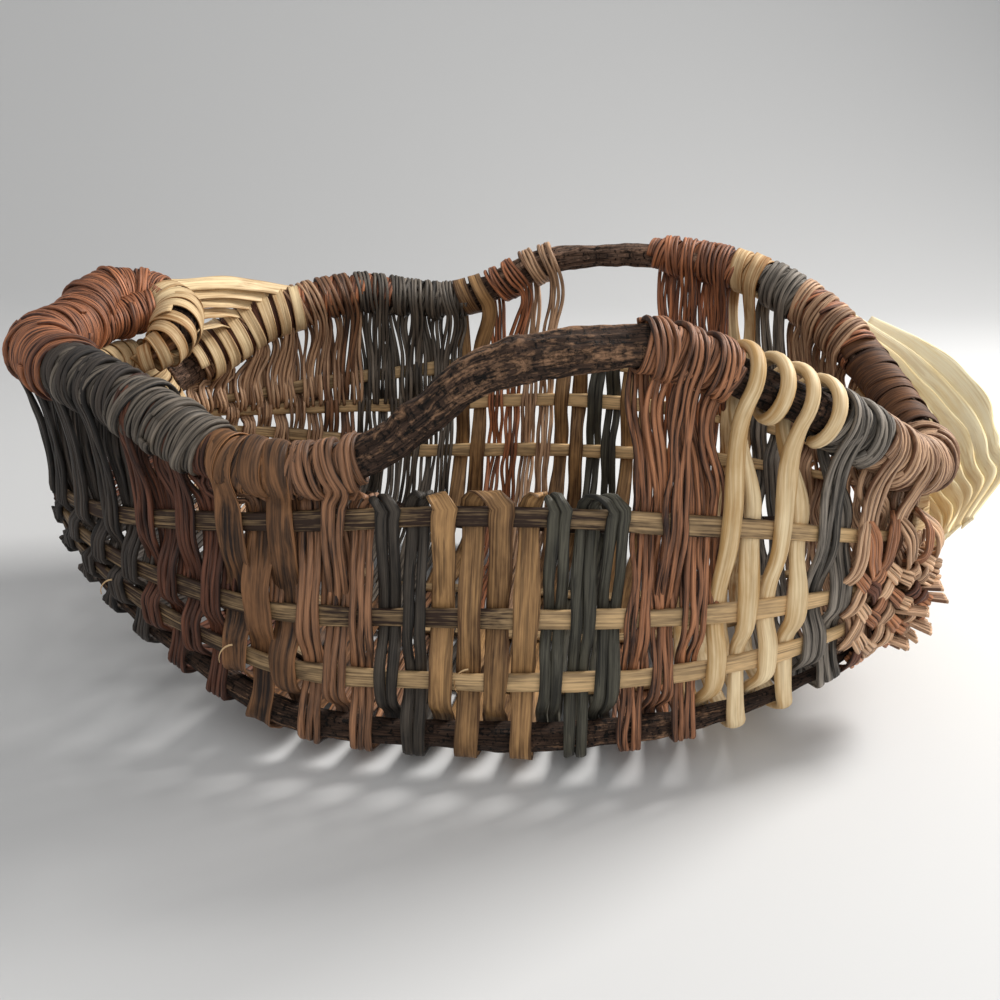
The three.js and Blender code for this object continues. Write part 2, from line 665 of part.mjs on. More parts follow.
for (const [name, end, color] of [["curled_ear", "curled", 0xc79f63], ["flared_ear", "flared", 0xcfa866]]) {
  const body = toManifold(earCap(end)).add(toManifold(earWall(end)));
  add(name, fromManifold(body), color);
}

// The fan of flat strips that spreads outside the flared ear, from below the shoulder's tip
const fan = sheet(3, 12, (i, j, layer) => {
  const distance = THREE.MathUtils.lerp(flare.from, flare.to, j);
  const { u, side } = tipPoint("flared", distance);
  const out = planOutward(u);
  out.y *= side === "front" ? -1 : 1;
  const y = planY(u) * (side === "front" ? -1 : 1);
  const footOffset = (earThickness + flare.thickness) / 2 + clearance;
  const offset = footOffset + flare.spread * i ** 1.5 + (layer * flare.thickness) / 2;
  const z = THREE.MathUtils.lerp(shoulderAt(halfLength) - flare.footFall, flare.lip, i);
  return new THREE.Vector3(planX(u), y, z).addScaledVector(out, offset);
});
add("flared_fan", fan, 0xdcb56f);

// The origin comes under the middle of the whole
const middle = new THREE.Box3().setFromObject(basket).getCenter(new THREE.Vector3());
for (const mesh of basket.children) mesh.geometry.translate(-middle.x, -middle.y, 0);

export default basket;
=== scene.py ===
"""Gathering basket in the ribbed style, woven from dyed vine strands over flat ribs, with bark-covered
rim branches, wrapped and curled ends and a fan of natural splints. Lengths are in millimetres while a
shape is worked out and become metres as it goes into its mesh."""
import bpy
import numpy as np
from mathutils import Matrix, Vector


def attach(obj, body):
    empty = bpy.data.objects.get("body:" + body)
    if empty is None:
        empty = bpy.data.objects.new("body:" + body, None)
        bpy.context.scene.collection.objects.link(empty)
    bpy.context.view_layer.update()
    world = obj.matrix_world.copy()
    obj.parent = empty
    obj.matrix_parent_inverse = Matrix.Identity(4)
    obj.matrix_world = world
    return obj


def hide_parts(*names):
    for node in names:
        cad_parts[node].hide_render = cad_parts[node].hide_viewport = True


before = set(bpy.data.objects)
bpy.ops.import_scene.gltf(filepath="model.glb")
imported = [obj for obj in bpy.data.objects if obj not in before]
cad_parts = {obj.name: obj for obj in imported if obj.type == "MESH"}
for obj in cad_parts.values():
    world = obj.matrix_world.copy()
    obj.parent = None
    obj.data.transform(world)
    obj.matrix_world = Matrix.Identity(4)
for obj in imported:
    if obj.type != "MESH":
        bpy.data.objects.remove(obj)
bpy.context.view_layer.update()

# The tub, as in the CAD model
MIDDLE = np.array([3.1347, 1.0013, 0.0])  # the origin lies under the middle of the whole
HALF_LENGTH, HALF_WIDTH = 232.0, 160.0
PLAN_POWER, SECTION_POWER = 2.3, 6.0
FLOOR_FLAT, FLOOR_LEVEL = 3.0, 3.85
RISE_SHARE, RISE_FROM, RISE_POWER = 0.6, 0.3, 1.15  # of the bottom towards the curled tip
WEAVE_OFFSET = 2.85  # of a strip's middle from the wall's middle
STATIONS = 40  # places on each side where a strip passes
STRIP_WIDTH, HALF_THICKNESS = 10.0, 1
STRIP_SHARE = 0.78  # of the room between neighbours that a strip may fill
RIB_MARGIN = 0.9  # how far a strip stays flat past a rib, and clear of a base branch
WRAP_CLEARANCE = 0.8
RIB_TIP, RIB_WIDTH, RIB_TAPER = 4, 9, 0.22  # widths, and the share over which each end narrows
BASE_TIP, BASE_RADIUS, BASE_TAPER = 2.2, 7, 0.4
TOP_RIB = {"front": 0, "back": 10}
MIRROR = {"front": -1, "back": 1}
QUARTER = np.pi / 2
UP = np.array([0.0, 0, 1])
MM = 0.001  # metres
STEP = 0.01  # of an angle, to either side, where a direction is taken
LEAST_HEIGHT = 0.15  # of any strip above the floor
RIM_STRIP, HANDLE_STRIP = 9.0, 8.5  # widths of strips over the rim and under a handle
RIM_OVERLAP = 3.4  # of a strip's turns round the rim, past its stations
RIM_LIFT = 1.3  # of strips that nothing covers, over the rim
SLOPES = 0.25, 1.1  # least and greatest angle between a strip and a base branch
SPLICE_GAP = 1.5  # between the two halves of a pass, below the ribs
SWELL, END_SWELL = 1.12, 0.25  # how much wider strips are than in the CAD model, and more at the flared end
STAKE_SPACING = 15.0  # along an ear's wall


def power(value, exponent):
    return np.sign(value) * np.abs(value) ** exponent


def unit(v):
    return v / np.maximum(np.linalg.norm(v, axis=-1, keepdims=True), 1e-9)


def dot(a, b):
    return np.sum(a * b, axis=-1, keepdims=True)


def eased(k):
    k = np.clip(k, 0, 1)
    return k * k * (3 - 2 * k)


def rows_of(place, facing, width):
    """Rows of place, facing and width or radius, of which the last two may be the same for all."""
    count = len(place)
    width = np.broadcast_to(np.reshape(width, (-1, 1)), (count, 1))
    return np.concatenate([place, np.broadcast_to(facing, (count, 3)), width], 1)


def height_line(pairs):
    """Height along X: the uniform Catmull-Rom curve through (share of the half length, height)."""
    p = np.array(pairs, float) * [HALF_LENGTH, 1]
    s = np.linspace(0, len(p) - 1, 241)
    i = np.minimum(s.astype(int), len(p) - 2)
    w = (s - i)[:, None]
    a, b, c, d = (p[np.clip(i + k, 0, len(p) - 1)] for k in (-1, 0, 1, 2))
    v0, v1 = (c - a) / 2, (d - b) / 2
    q = (2 * b - 2 * c + v0 + v1) * w ** 3 + (3 * c - 3 * b - 2 * v0 - v1) * w ** 2 + v0 * w + b
    return lambda x: np.interp(x, q[:, 0], q[:, 1])


shoulder_at = height_line([(-1, 110), (-0.7, 113), (-0.4, 121), (0.1, 132), (0.5, 127), (0.78, 114), (1, 96)])
rim_height = {"front": height_line([
    (-1, 176), (-0.86, 180), (-0.62, 171), (-0.4, 152), (-0.25, 148), (-0.12, 155), (0, 175), (0.12, 195),
    (0.35, 204), (0.47, 199), (0.64, 181), (0.78, 161), (0.9, 140), (1, 128)]), "back": height_line([
        (-1, 119), (-0.9, 134), (-0.8, 149), (-0.7, 163), (-0.48, 176), (-0.3, 172), (-0.2, 171),
        (-0.08, 180), (0.08, 197), (0.35, 204), (0.6, 197), (0.76, 182), (0.87, 163), (0.97, 138), (1, 128)])}


def plan(u):
    """The tub from above, a superellipse: x and y of the shoulder line at u, 0 to pi."""
    return -HALF_LENGTH * power(np.cos(u), 2 / PLAN_POWER), HALF_WIDTH * power(np.sin(u), 2 / PLAN_POWER)


def plan_outward(u, mirror):
    """Level direction out of the plan at u: square to a short chord there."""
    (x0, y0), (x1, y1) = plan(u - STEP), plan(u + STEP)
    out = np.stack([-(y1 - y0), x1 - x0, 0 * x0], -1)
    return unit(out) * [1, mirror, 1]


PLAN_U = np.linspace(0, np.pi, 2001)
_px, _py = plan(PLAN_U)
PLAN_LENGTH = np.concatenate([[0], np.cumsum(np.hypot(np.diff(_px), np.diff(_py)))])


def plan_angle(distance):
    return np.interp(distance, PLAN_LENGTH, PLAN_U)


def plan_distance(u):
    return np.interp(u, PLAN_U, PLAN_LENGTH)


def tub(u, t):
    """Wall middle: a superellipse from above and a squarish one from the end, with a height that
    falls from the shoulder to a floor pressed flat, and a bottom that rises towards the curled tip."""
    u, t = np.broadcast_arrays(np.asarray(u, float), np.asarray(t, float))
    x = -HALF_LENGTH * power(np.cos(u), 2 / PLAN_POWER)
    spread = power(np.sin(u), 2 / PLAN_POWER)
    y = HALF_WIDTH * spread * power(np.sin(t), 2 / SECTION_POWER)
    past = np.clip((-x / HALF_LENGTH - RISE_FROM) / (1 - RISE_FROM), 0, 1)
    depth = spread * np.abs(np.cos(t)) ** (2 / SECTION_POWER) * (1 - RISE_SHARE * past ** RISE_POWER)
    crown = (shoulder_at(x) - FLOOR_LEVEL + FLOOR_FLAT) * (1 - depth)
    return np.stack([x, y, FLOOR_LEVEL + np.maximum(0, crown - FLOOR_FLAT)], -1)


def tub_normal(u, t):
    low, high = np.maximum(t - STEP, -QUARTER), np.minimum(t + STEP, QUARTER)
    along = tub(u + STEP, t) - tub(u - STEP, t)
    return -unit(np.cross(along, tub(u, high) - tub(u, low)))


def angle_at_height(z):
    depth = 1 - (z - FLOOR_LEVEL + FLOOR_FLAT) / (shoulder_at(0) - FLOOR_LEVEL + FLOOR_FLAT)
    return np.arccos(depth ** (SECTION_POWER / 2))


def blend(a, b, k):
    return a + (b - a) * eased(k)


def rim_radius(x):
    share = x / HALF_LENGTH
    return np.where(share < 0, blend(12, 8.6, (share + 1) / 0.8), blend(8.6, 10.5, (share - 0.4) / 0.5))


def rim_frame(u, side):
    """Middle of a rim branch above the shoulder at u, its outward and its upward direction."""
    mirror = MIRROR[side]

    def at(v):
        x, y = plan(v)
        return np.stack([x, mirror * y, rim_height[side](x)], -1)

    out = plan_outward(u, mirror)
    along = unit(at(u + STEP) - at(u - STEP))
    rise = unit(np.cross(along, out))
    rise = rise * np.where(rise[..., 2:] < 0, -1, 1)
    return at(u), out, rise, rim_radius(plan(u)[0])


# Ribs and their knots
OFFSET_ANGLE = np.arcsin((64 / HALF_WIDTH) ** (SECTION_POWER / 2))  # of the floor ribs
RIB_NAMES = ["front_rib_1", "front_rib_2", "front_rib_3", "front_base_branch", "front_floor_rib", "keel_rib",
             "back_floor_rib", "back_base_branch", "back_rib_3", "back_rib_2", "back_rib_1"]
RIB_T = np.array([-QUARTER, -angle_at_height(84), -angle_at_height(53), -angle_at_height(20), -OFFSET_ANGLE,
                  0, OFFSET_ANGLE, angle_at_height(20), angle_at_height(69), angle_at_height(104), QUARTER])
RIBS = np.arange(11)
ROUND = np.array([name.endswith("branch") for name in RIB_NAMES])
EAR_REACH = (74, 90)  # along the front and the back shoulder
EAR_GAP = 2.6  # from an ear to the rib ends


def ear_edge(t, extra=0.0):
    return plan_angle(EAR_REACH[0] + (EAR_REACH[1] - EAR_REACH[0]) * (t + QUARTER) / np.pi + extra)


def rib_u(r, share):
    """u on rib r at shares of its length, from the curled ear to the flared one."""
    edge = ear_edge(RIB_T[r], EAR_GAP)
    u = edge + (np.pi - 2 * edge) * np.linspace(0, 1, 401)
    p = tub(u, RIB_T[r])
    run = np.concatenate([[0], np.cumsum(np.linalg.norm(np.diff(p, axis=0), axis=1))])
    return np.interp(np.asarray(share) * run[-1], run, u)


KNOT_SHARE = np.linspace(0, 1, STATIONS // 2 + 1)
KNOT_U = np.stack([rib_u(r, KNOT_SHARE) for r in RIBS])
KNOT_P = tub(KNOT_U, RIB_T[:, None])
KNOT_N = tub_normal(KNOT_U, RIB_T[:, None])
TO_END = np.minimum(KNOT_SHARE, 1 - KNOT_SHARE)
KNOT_WIDTH = blend(RIB_TIP, RIB_WIDTH, TO_END / RIB_TAPER)
KNOT_RADIUS = blend(BASE_TIP, BASE_RADIUS, TO_END / BASE_TAPER)


def station_distance(side, j):
    """Distance of station j along the plan from the curled tip, mirrored past the last ones."""
    def at(q):
        return plan_distance(rib_u(TOP_RIB[side], (q + 0.5) / STATIONS))

    j, last = np.asarray(j, float), STATIONS - 1
    past = 2 * at(0 * j + last) - at(2 * last - j)
    inside = at(np.clip(j, 0, last))
    return np.where(j < 0, 2 * at(0 * j) - at(-j), np.where(j > last, past, inside))


def crossings():
    """Where the strip of each station passes each rib: an array (rib, station, point, 7) of place,
    facing and width. A strip runs flat past a flat rib at the weave's offset, over it or behind it
    by turns, and bends round a base branch by the angles at which it comes and goes."""
    j = np.arange(STATIONS)
    i, f = j // 2, np.where(j % 2 == 0, 0.25, 0.75)[None, :, None]
    a, b = KNOT_P[:, i], KNOT_P[:, i + 1]
    p, along = a + (b - a) * f, unit(b - a)
    n = KNOT_N[:, i] * (1 - f) + KNOT_N[:, i + 1] * f
    n = unit(n - along * dot(n, along))

    def between(v):
        return (v[i] * (1 - f[0, :, 0]) + v[i + 1] * f[0, :, 0])[None]

    width, radius = between(KNOT_WIDTH), between(KNOT_RADIUS)
    pitch = np.linalg.norm(b - a, axis=-1) / 2
    before, after = p[np.maximum(RIBS - 1, 0)], p[np.minimum(RIBS + 1, 10)]
    way = after - before
    way = unit(way - n * dot(way, n))
    slant = dot(way, along)[..., 0]
    square = np.sqrt(1 - slant ** 2)
    own = np.minimum(STRIP_WIDTH, pitch * square * STRIP_SHARE)
    outside = np.where((RIBS[:, None] + j) % 2 == 0, 1.0, -1.0)[..., None]
    side = n * outside
    overlap = own / 2 * np.abs(slant)

    def fall(q):
        """Angle at which a strip comes to a base branch from q, or goes there."""
        v = q - p
        depth = radius + 2 * WEAVE_OFFSET - dot(v, side)[..., 0]
        return np.clip(np.arctan2(depth, np.abs(dot(v, way)[..., 0])), *SLOPES)

    fb, fa = fall(before), fall(after)
    reach = (radius + RIB_MARGIN + HALF_THICKNESS) / np.cos((fb + fa) / 4)
    turn = np.stack([-fb, (fa - fb) / 2, fa], -1)
    flat_half = width / 2 + RIB_MARGIN + overlap
    across = np.where(ROUND[:, None, None], np.sin(turn) * (reach + overlap)[..., None],
                      np.stack([-flat_half, 0 * flat_half, flat_half], -1))
    out = np.where(ROUND[:, None, None], np.cos(turn) * reach[..., None] + 0.4 * overlap[..., None],
                   np.broadcast_to([WEAVE_OFFSET, WEAVE_OFFSET + 0.25, WEAVE_OFFSET], turn.shape))
    place = (p[:, :, None] + way[:, :, None] * (across / square[..., None])[..., None]
             + side[:, :, None] * out[..., None])
    facing = np.broadcast_to(side[:, :, None], place.shape)
    return np.concatenate([place, facing, np.broadcast_to(own[..., None, None], place.shape[:3] + (1,))], -1)


BARE = {"front": (-0.15, 0.36), "back": (0.06, 0.36)}
FOLD_TOP = RIB_WIDTH / 2 + 2.6  # middle of a fold above the top rib
RIM_TURNS = 5 / 3


def rim_wrap(side, j, lift=RIM_LIFT):
    """A strip's way over the rim from station j to the next: 5/3 turns round the branch, or under a
    bare handle half a turn over the top rib."""
    start, end = station_distance(side, j), station_distance(side, j + 1)
    x = plan(plan_angle((start + end) / 2))[0]
    low, high = (share * HALF_LENGTH for share in BARE[side])
    if low < x < high:
        k = np.linspace(0, 1, 9)
        u = plan_angle(start + (end - start) * (0.1 + 0.8 * eased(k)))
        out = plan_outward(u, MIRROR[side])
        turn = (k if side == "back" else 1 - k)[:, None] * np.pi
        radial = out * np.cos(turn) + UP * np.sin(turn)
        place = tub(u, RIB_T[TOP_RIB[side]]) + UP * FOLD_TOP + radial * WEAVE_OFFSET
        return rows_of(place, radial, HANDLE_STRIP)
    f = np.linspace(0, 1, 41)
    place = start - RIM_OVERLAP + (end - start + 2 * RIM_OVERLAP) * f
    p, out, rise, radius = rim_frame(plan_angle(place), side)
    first, way = (-np.pi / 6, 1) if side == "back" else (7 * np.pi / 6, -1)
    turn = (first + way * f * RIM_TURNS * 2 * np.pi)[:, None]
    radial = out * np.cos(turn) + rise * np.sin(turn)
    reach = radius + WRAP_CLEARANCE + HALF_THICKNESS + lift
    return rows_of(p + radial * reach[:, None], radial, RIM_STRIP)


def half_wrap(rows, before):
    """The half of a wrap that belongs to the strip on one side, stopped 2 mm short of the middle."""
    middle = (len(rows) - 1) // 2
    kept = (rows[:middle + 1] if before else rows[middle:]).copy()
    end, near = (-1, -2) if before else (0, 1)
    span = np.linalg.norm(kept[end, :3] - kept[near, :3])
    kept[end, :3] += (kept[near, :3] - kept[end, :3]) * min(2 / span, 0.8)
    return kept


CROSSINGS = crossings()
FLAT_WRAPPED = 7  # stations of the back rim under the flat natural wraps


def strip_rows(side, j):
    """The part of pass j on one side of the basket, up from its splice, which lies under the keel rib
    or the floor rib behind it, where the strip goes below the rib."""
    splice = 5 if j % 2 else 6
    if side == "front":
        rows = CROSSINGS[:splice + 1, j].reshape(-1, 7)[:-1][::-1].copy()
    else:
        rows = CROSSINGS[splice:, j].reshape(-1, 7)[1:].copy()
    rows[0, :3] += SPLICE_GAP * unit(rows[1, :3] - rows[0, :3])
    rows[:, 6] *= SWELL + END_SWELL * eased((j - 31) / 5)
    return rows


def loops(side, styles):
    """Lines of strips from splice to splice over one rim: (style, first pass, rows). Where the style
    changes on the rim, each strip ends there."""
    first = 1 if side == "front" else 0
    found = []
    for a in range(first, STATIONS - 1, 2):
        b = a + 1
        covered = b < FLAT_WRAPPED if side == "back" else a <= 3 or 8 <= a <= 11
        lift = 0.0 if covered else RIM_LIFT
        wrap, up, down = rim_wrap(side, a, lift=lift), strip_rows(side, a), strip_rows(side, b)[::-1]
        if styles[a] == styles[b]:
            found.append((styles[a], a, np.concatenate([up, wrap, down])))
        else:
            found.append((styles[a], a, np.concatenate([up, half_wrap(wrap, True)])))
            found.append((styles[b], b, np.concatenate([half_wrap(wrap, False), down])))
    if side == "front":
        last = STATIONS - 1
        start, stop = half_wrap(rim_wrap(side, -1), False), half_wrap(rim_wrap(side, last), True)
        found.append((styles[0], 0, np.concatenate([start, strip_rows(side, 0)[::-1]])))
        found.append((styles[last], last, np.concatenate([strip_rows(side, last), stop])))
    return found


# Shapes from lines
def smooth_line(rows, spacing):
    """Cubic Hermite curve through rows whose first three numbers are places, with slopes weighted
    by the lengths on both sides, cut at even distances. Facings keep their side from row to row."""
    rows = rows.copy()
    turn = np.sign(dot(rows[1:, 3:6], rows[:-1, 3:6]))[:, 0]
    rows[1:, 3:6] *= np.cumprod(np.where(turn == 0, 1, turn))[:, None]
    h = np.maximum(np.linalg.norm(np.diff(rows[:, :3], axis=0), axis=1), 1e-3)
    slope = np.diff(rows, axis=0) / h[:, None]
    m = np.empty_like(rows)
    m[0], m[-1] = slope[0], slope[-1]
    m[1:-1] = (slope[:-1] * h[1:, None] + slope[1:] * h[:-1, None]) / (h[:-1] + h[1:])[:, None]
    run = np.concatenate([[0], np.cumsum(h)])
    s = np.linspace(0, run[-1], max(int(run[-1] / spacing), 2) + 1)
    i = np.clip(np.searchsorted(run, s, "right") - 1, 0, len(h) - 1)
    d = h[i][:, None]
    k = ((s - run[i]) / h[i])[:, None]
    out = ((2 * k ** 3 - 3 * k ** 2 + 1) * rows[i] + (k ** 3 - 2 * k ** 2 + k) * d * m[i]
           + (3 * k ** 2 - 2 * k ** 3) * rows[i + 1] + (k ** 3 - k ** 2) * d * m[i + 1])
    return np.concatenate([out, s[:, None]], 1)


def wander(rng, count, s, wave, size):
    """Slow random wandering of `count` strands along s: five sines of random length and phase."""
    k = 2 * np.pi / (wave * rng.uniform(0.6, 2.2, (count, 5, 1)))
    return size * np.sum(np.sin(k * s[None, None] + rng.uniform(0, 2 * np.pi, (count, 5, 1))), 1) / 2.2


def noise_field(rng, rows, columns, long_rows, long_columns):
    """White noise blurred by a Gaussian in the Fourier plane, brought to a spread of one."""
    white = np.fft.fft2(rng.standard_normal((rows, columns)))
    a = np.fft.fftfreq(rows)[:, None] * long_rows
    b = np.fft.fftfreq(columns)[None] * long_columns
    field = np.real(np.fft.ifft2(white * np.exp(-20 * (a * a + b * b))))
    return field / field.std()


def quad_object(name, place, faces, material):
    """An object of smooth quads: places in metres, and rows of four indices."""
    mesh = bpy.data.meshes.new(name)
    mesh.from_pydata(place.tolist(), [], faces.tolist(), shade_flat=False)
    mesh.materials.append(material)
    obj = bpy.data.objects.new(name, mesh)
    bpy.context.scene.collection.objects.link(obj)
    return obj


class Heap:
    """Closed tubes gathered for one mesh, with their UVs and tones, and the random numbers for them:
    from a seed of its own or from a generator that it shares."""
    def __init__(self, seed):
        self.parts, self.count, self.rng = [], 0, np.random.default_rng(seed)

    def tubes(self, place, uv, tone):
        """Places as a grid (strand, ring, side): rings joined side to side, ends closed by quads."""
        grid = place.shape[:3]
        index = self.count + np.arange(np.prod(grid)).reshape(grid)
        beside = np.roll(index, -1, 2)
        walls = np.stack([index[:, :-1], beside[:, :-1], beside[:, 1:], index[:, 1:]], -1).reshape(-1, 4)
        k, sides = np.arange(grid[2] // 2 - 1), grid[2]
        cap = np.stack([k, k + 1, sides - 2 - k, sides - 1 - k], -1)
        first, last = index[:, 0][:, cap[:, ::-1]], index[:, -1][:, cap]
        faces = np.concatenate([walls, first.reshape(-1, 4), last.reshape(-1, 4)])
        self.parts.append((place.reshape(-1, 3), np.broadcast_to(uv, grid + (2,)).reshape(-1, 2),
                           np.broadcast_to(tone, grid).reshape(-1), faces))
        self.count += index.size

    def piece(self, name, material, nodes, slot=None):
        """The mesh of the gathered tubes, in the frame of the model, kept just above the floor."""
        place, uv, tone, faces = (np.concatenate([part[k] for part in self.parts]) for k in range(4))
        place = place - MIDDLE
        place[:, 2] = np.maximum(place[:, 2], LEAST_HEIGHT)
        obj = quad_object(name, place * MM, faces, material)
        mesh = obj.data
        layer = mesh.uv_layers.new(name="UVMap")
        layer.data.foreach_set("uv", uv[faces.ravel()].astype(np.float32).ravel())
        mesh.attributes.new("tone", "FLOAT", "POINT").data.foreach_set("value", tone.astype(np.float32))
        mesh.validate()
        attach(obj, "root")
        if nodes:
            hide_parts(*nodes)

    def strip(self, rows, spacing, strands, thick, **shape):
        """A bundle of strands on the smooth curve through rows of place, facing and width."""
        bundle(self, smooth_line(rows, spacing), strands, thick, **shape)


def bundle(heap, line, strands, thick, sides=8, square=2.6, loose=0.35, cup=0.0, tone=0.5,
           tone_spread=0.2, wave=40, share=1.02, crevice=0.45, patchy=0.1):
    """A strip as strands side by side along a line: each has a superellipse section, its place
    across the strip and its lift wander slowly, it may be cupped like a peeled splint, and its
    tone changes along it. Painted shade darkens each strand towards its edges, where strands
    meet; a negative amount makes the edges paler instead."""
    centre, width, s = line[:, :3], line[:, 6:7], line[:, 7]
    tangent = unit(np.gradient(centre, axis=0))
    facing = unit(line[:, 3:6])
    across = unit(np.cross(tangent, facing))
    facing = np.cross(across, tangent)

    def slow(length, size):
        return wander(heap.rng, strands, s, length, size)[..., None]

    lane = ((np.arange(strands) + 0.5) / strands - 0.5)[:, None, None] * width + slow(wave, loose)
    lift = slow(wave * 0.7, loose * 0.55)
    own = width / strands * share * (1 + slow(60, 0.08))
    body = thick * (1 + slow(50, 0.07))
    roll = slow(60, 0.16 if strands > 1 else 0.05)
    a = (np.arange(sides) + 0.5) / sides * 2 * np.pi
    wide, deep = power(np.cos(a), 2 / square), power(np.sin(a), 2 / square)
    w, d = own / 2 * wide, body / 2 * deep + cup * (wide ** 2 - 0.4) * own
    w, d = w * np.cos(roll) - d * np.sin(roll), w * np.sin(roll) + d * np.cos(roll)
    w, d = w + lane, d + lift
    place = centre[:, None] + across[:, None] * w[..., None] + facing[:, None] * d[..., None]
    shift = 40 * heap.rng.random((strands, 1, 1))  # so that no two strands show the same fibres
    uv = np.stack(np.broadcast_arrays(s[None, :, None] * MM, (w + shift) * MM), -1)
    # painted shade: the tone falls towards each strand's edges by the edge amount; a negative amount gives
    # pale edges
    shade = (np.reshape(tone, (1, -1, 1)) + tone_spread * heap.rng.uniform(-1, 1, (strands, 1, 1))
             + slow(70, patchy) - crevice * np.abs(np.cos(a)) ** 3)
    heap.tubes(place, uv, shade)


BARK_SPACING = 1.5  # between the rings of a branch


def limb(heap, rows, sides, ridges, lumps, knots=()):
    """A bark branch along rows of place, facing and radius: round rings whose radius varies by long
    ridges, short lumps and cross cracks, all blurred noise wrapped round the branch, and by knots,
    each a round swelling with a hollow in its middle: (distance, angle, size)."""
    line = smooth_line(rows, BARK_SPACING)
    centre, radius, s = line[:, :3], line[:, 6], line[:, 7]
    tangent = unit(np.gradient(centre, axis=0))
    up = unit(line[:, 3:6] - tangent * dot(line[:, 3:6], tangent))
    side = np.cross(tangent, up)
    long_ridges = noise_field(heap.rng, len(s), sides, 14 / BARK_SPACING, 0.9)
    broad = noise_field(heap.rng, len(s), sides, 26 / BARK_SPACING, 12)
    cracks = noise_field(heap.rng, len(s), sides, 2.2 / BARK_SPACING, 3.0)
    r = radius[:, None] + ridges * (0.42 * long_ridges - 0.6) + lumps * 0.5 * broad + ridges * 0.16 * cracks
    a = np.arange(sides) / sides * 2 * np.pi
    for distance, angle, size in knots:
        off = np.hypot((s[:, None] - distance) / size, 9 * np.sin((a[None] - angle) / 2) * 2 / size)
        off = np.where(np.cos(a - angle) > 0, off, 9)
        r = r + size * (0.42 * np.exp(-off ** 2 * 1.6) - 0.5 * np.exp(-off ** 2 * 14))
    place = centre[:, None] + side[:, None] * (r * np.cos(a))[..., None]
    place = place + up[:, None] * (r * np.sin(a))[..., None]
    uv = np.stack(np.broadcast_arrays(s[:, None] * MM, np.minimum(a, 2 * np.pi - a)[None] * 0.009), -1)
    heap.tubes(place[None], uv[None], (0.5 + 0.18 * long_ridges + 0.1 * broad)[None])


# Finishes
def colour(code):
    """Linear colour of an sRGB code such as 7a4a36."""
    c = np.array([int(code[k:k + 2], 16) for k in (0, 2, 4)]) / 255
    return tuple(np.where(c <= 0.04045, c / 12.92, ((c + 0.055) / 1.055) ** 2.4)) + (1.0,)


def joined(tree, kind, links=None, **settings):
    """A node with its settings and inputs: an input is a value or another node's socket."""
    node = tree.nodes.new(kind)
    for key, value in settings.items():
        setattr(node, key, value)
    for key, value in (links or {}).items():
        if isinstance(value, bpy.types.NodeSocket):
            tree.links.new(value, node.inputs[key])
        else:
            node.inputs[key].default_value = value
    return node


def reckoned(tree, kind, a, b, c=0.0):
    """Result of a sum, product or the like of two or three values."""
    return joined(tree, "ShaderNodeMath", {0: a, 1: b, 2: c}, operation=kind).outputs[0]


def ranged(tree, value, low, high, new_low=0.0, new_high=1.0):
    """A value brought from one range to another, and held inside it."""
    return joined(tree, "ShaderNodeMapRange", {"Value": value, "From Min": low, "From Max": high,
                                               "To Min": new_low, "To Max": new_high}).outputs[0]


def mixed(tree, share, first, second):
    return joined(tree, "ShaderNodeMix", {0: share, 6: first, 7: second}, data_type="RGBA").outputs[2]


def noise(tree, place, detail, roughness):
    return joined(tree, "ShaderNodeTexNoise", {"Vector": place, "Scale": 1.0, "Detail": detail,
                                               "Roughness": roughness}).outputs["Fac"]


def finish_group(name, inputs):
    """A node group for a finish, with its inputs, and the strip's own UV and tone, which also carries painted
    shade.
    """
    group = bpy.data.node_groups.new(name, "ShaderNodeTree")
    for label, value in inputs.items():
        kind = "NodeSocketColor" if isinstance(value, tuple) else "NodeSocketFloat"
        group.interface.new_socket(label, in_out="INPUT", socket_type=kind).default_value = value
    uv = joined(group, "ShaderNodeUVMap", uv_map="UVMap").outputs[0]
    tone = joined(group, "ShaderNodeAttribute", attribute_name="tone", attribute_type="GEOMETRY")
    return group, joined(group, "NodeGroupInput").outputs, uv, tone.outputs["Fac"]


def put_out(group, **results):
    """Joins a group's results to its outputs."""
    for label in results:
        kind = "NodeSocketColor" if label == "Color" else "NodeSocketFloat"
        group.interface.new_socket(label, in_out="OUTPUT", socket_type=kind)
    joined(group, "NodeGroupOutput", results)
    return group


def fibre_group():
    """Long fibres of a splint: noise stretched along the strip's own UV, and the strand's tone."""
    group, given, uv, tone = finish_group("long_fibres", {
        "Dark": (0.05, 0.03, 0.02, 1), "Light": (0.3, 0.2, 0.1, 1), "Groove": (0.02, 0.01, 0.01, 1),
        "Fineness": 1.0, "Groove depth": 0.6})
    apart = joined(group, "ShaderNodeSeparateXYZ", {0: uv}).outputs

    def stretched(along, across, detail, seed):
        u = reckoned(group, "MULTIPLY", apart[0], along)
        v = reckoned(group, "MULTIPLY", apart[1], reckoned(group, "MULTIPLY", given["Fineness"], across))
        w = reckoned(group, "MULTIPLY_ADD", tone, 3.7, seed)
        place = joined(group, "ShaderNodeCombineXYZ", {0: u, 1: v, 2: w}).outputs[0]
        return noise(group, place, detail, 0.6)

    fibres = stretched(22, 1500, 3.0, 0.0)
    grooves = stretched(14, 620, 2.0, 5.0)
    patches = stretched(45, 160, 3.0, 11.0)
    level = reckoned(group, "MULTIPLY_ADD", ranged(group, fibres, 0.32, 0.68), 0.42)
    level = reckoned(group, "MULTIPLY_ADD", tone, 0.62, level)
    level = reckoned(group, "MULTIPLY_ADD", ranged(group, patches, 0.3, 0.7), 0.3, level)
    body = mixed(group, ranged(group, level, 0.33, 1.08), given["Dark"], given["Light"])
    cut = reckoned(group, "MULTIPLY", ranged(group, grooves, 0.47, 0.36), given["Groove depth"])
    return put_out(group, Color=mixed(group, cut, body, given["Groove"]),
                   Roughness=ranged(group, level, 0.2, 1.2, 0.72, 0.44),
                   Height=reckoned(group, "MULTIPLY_ADD", cut, -1.0, fibres))


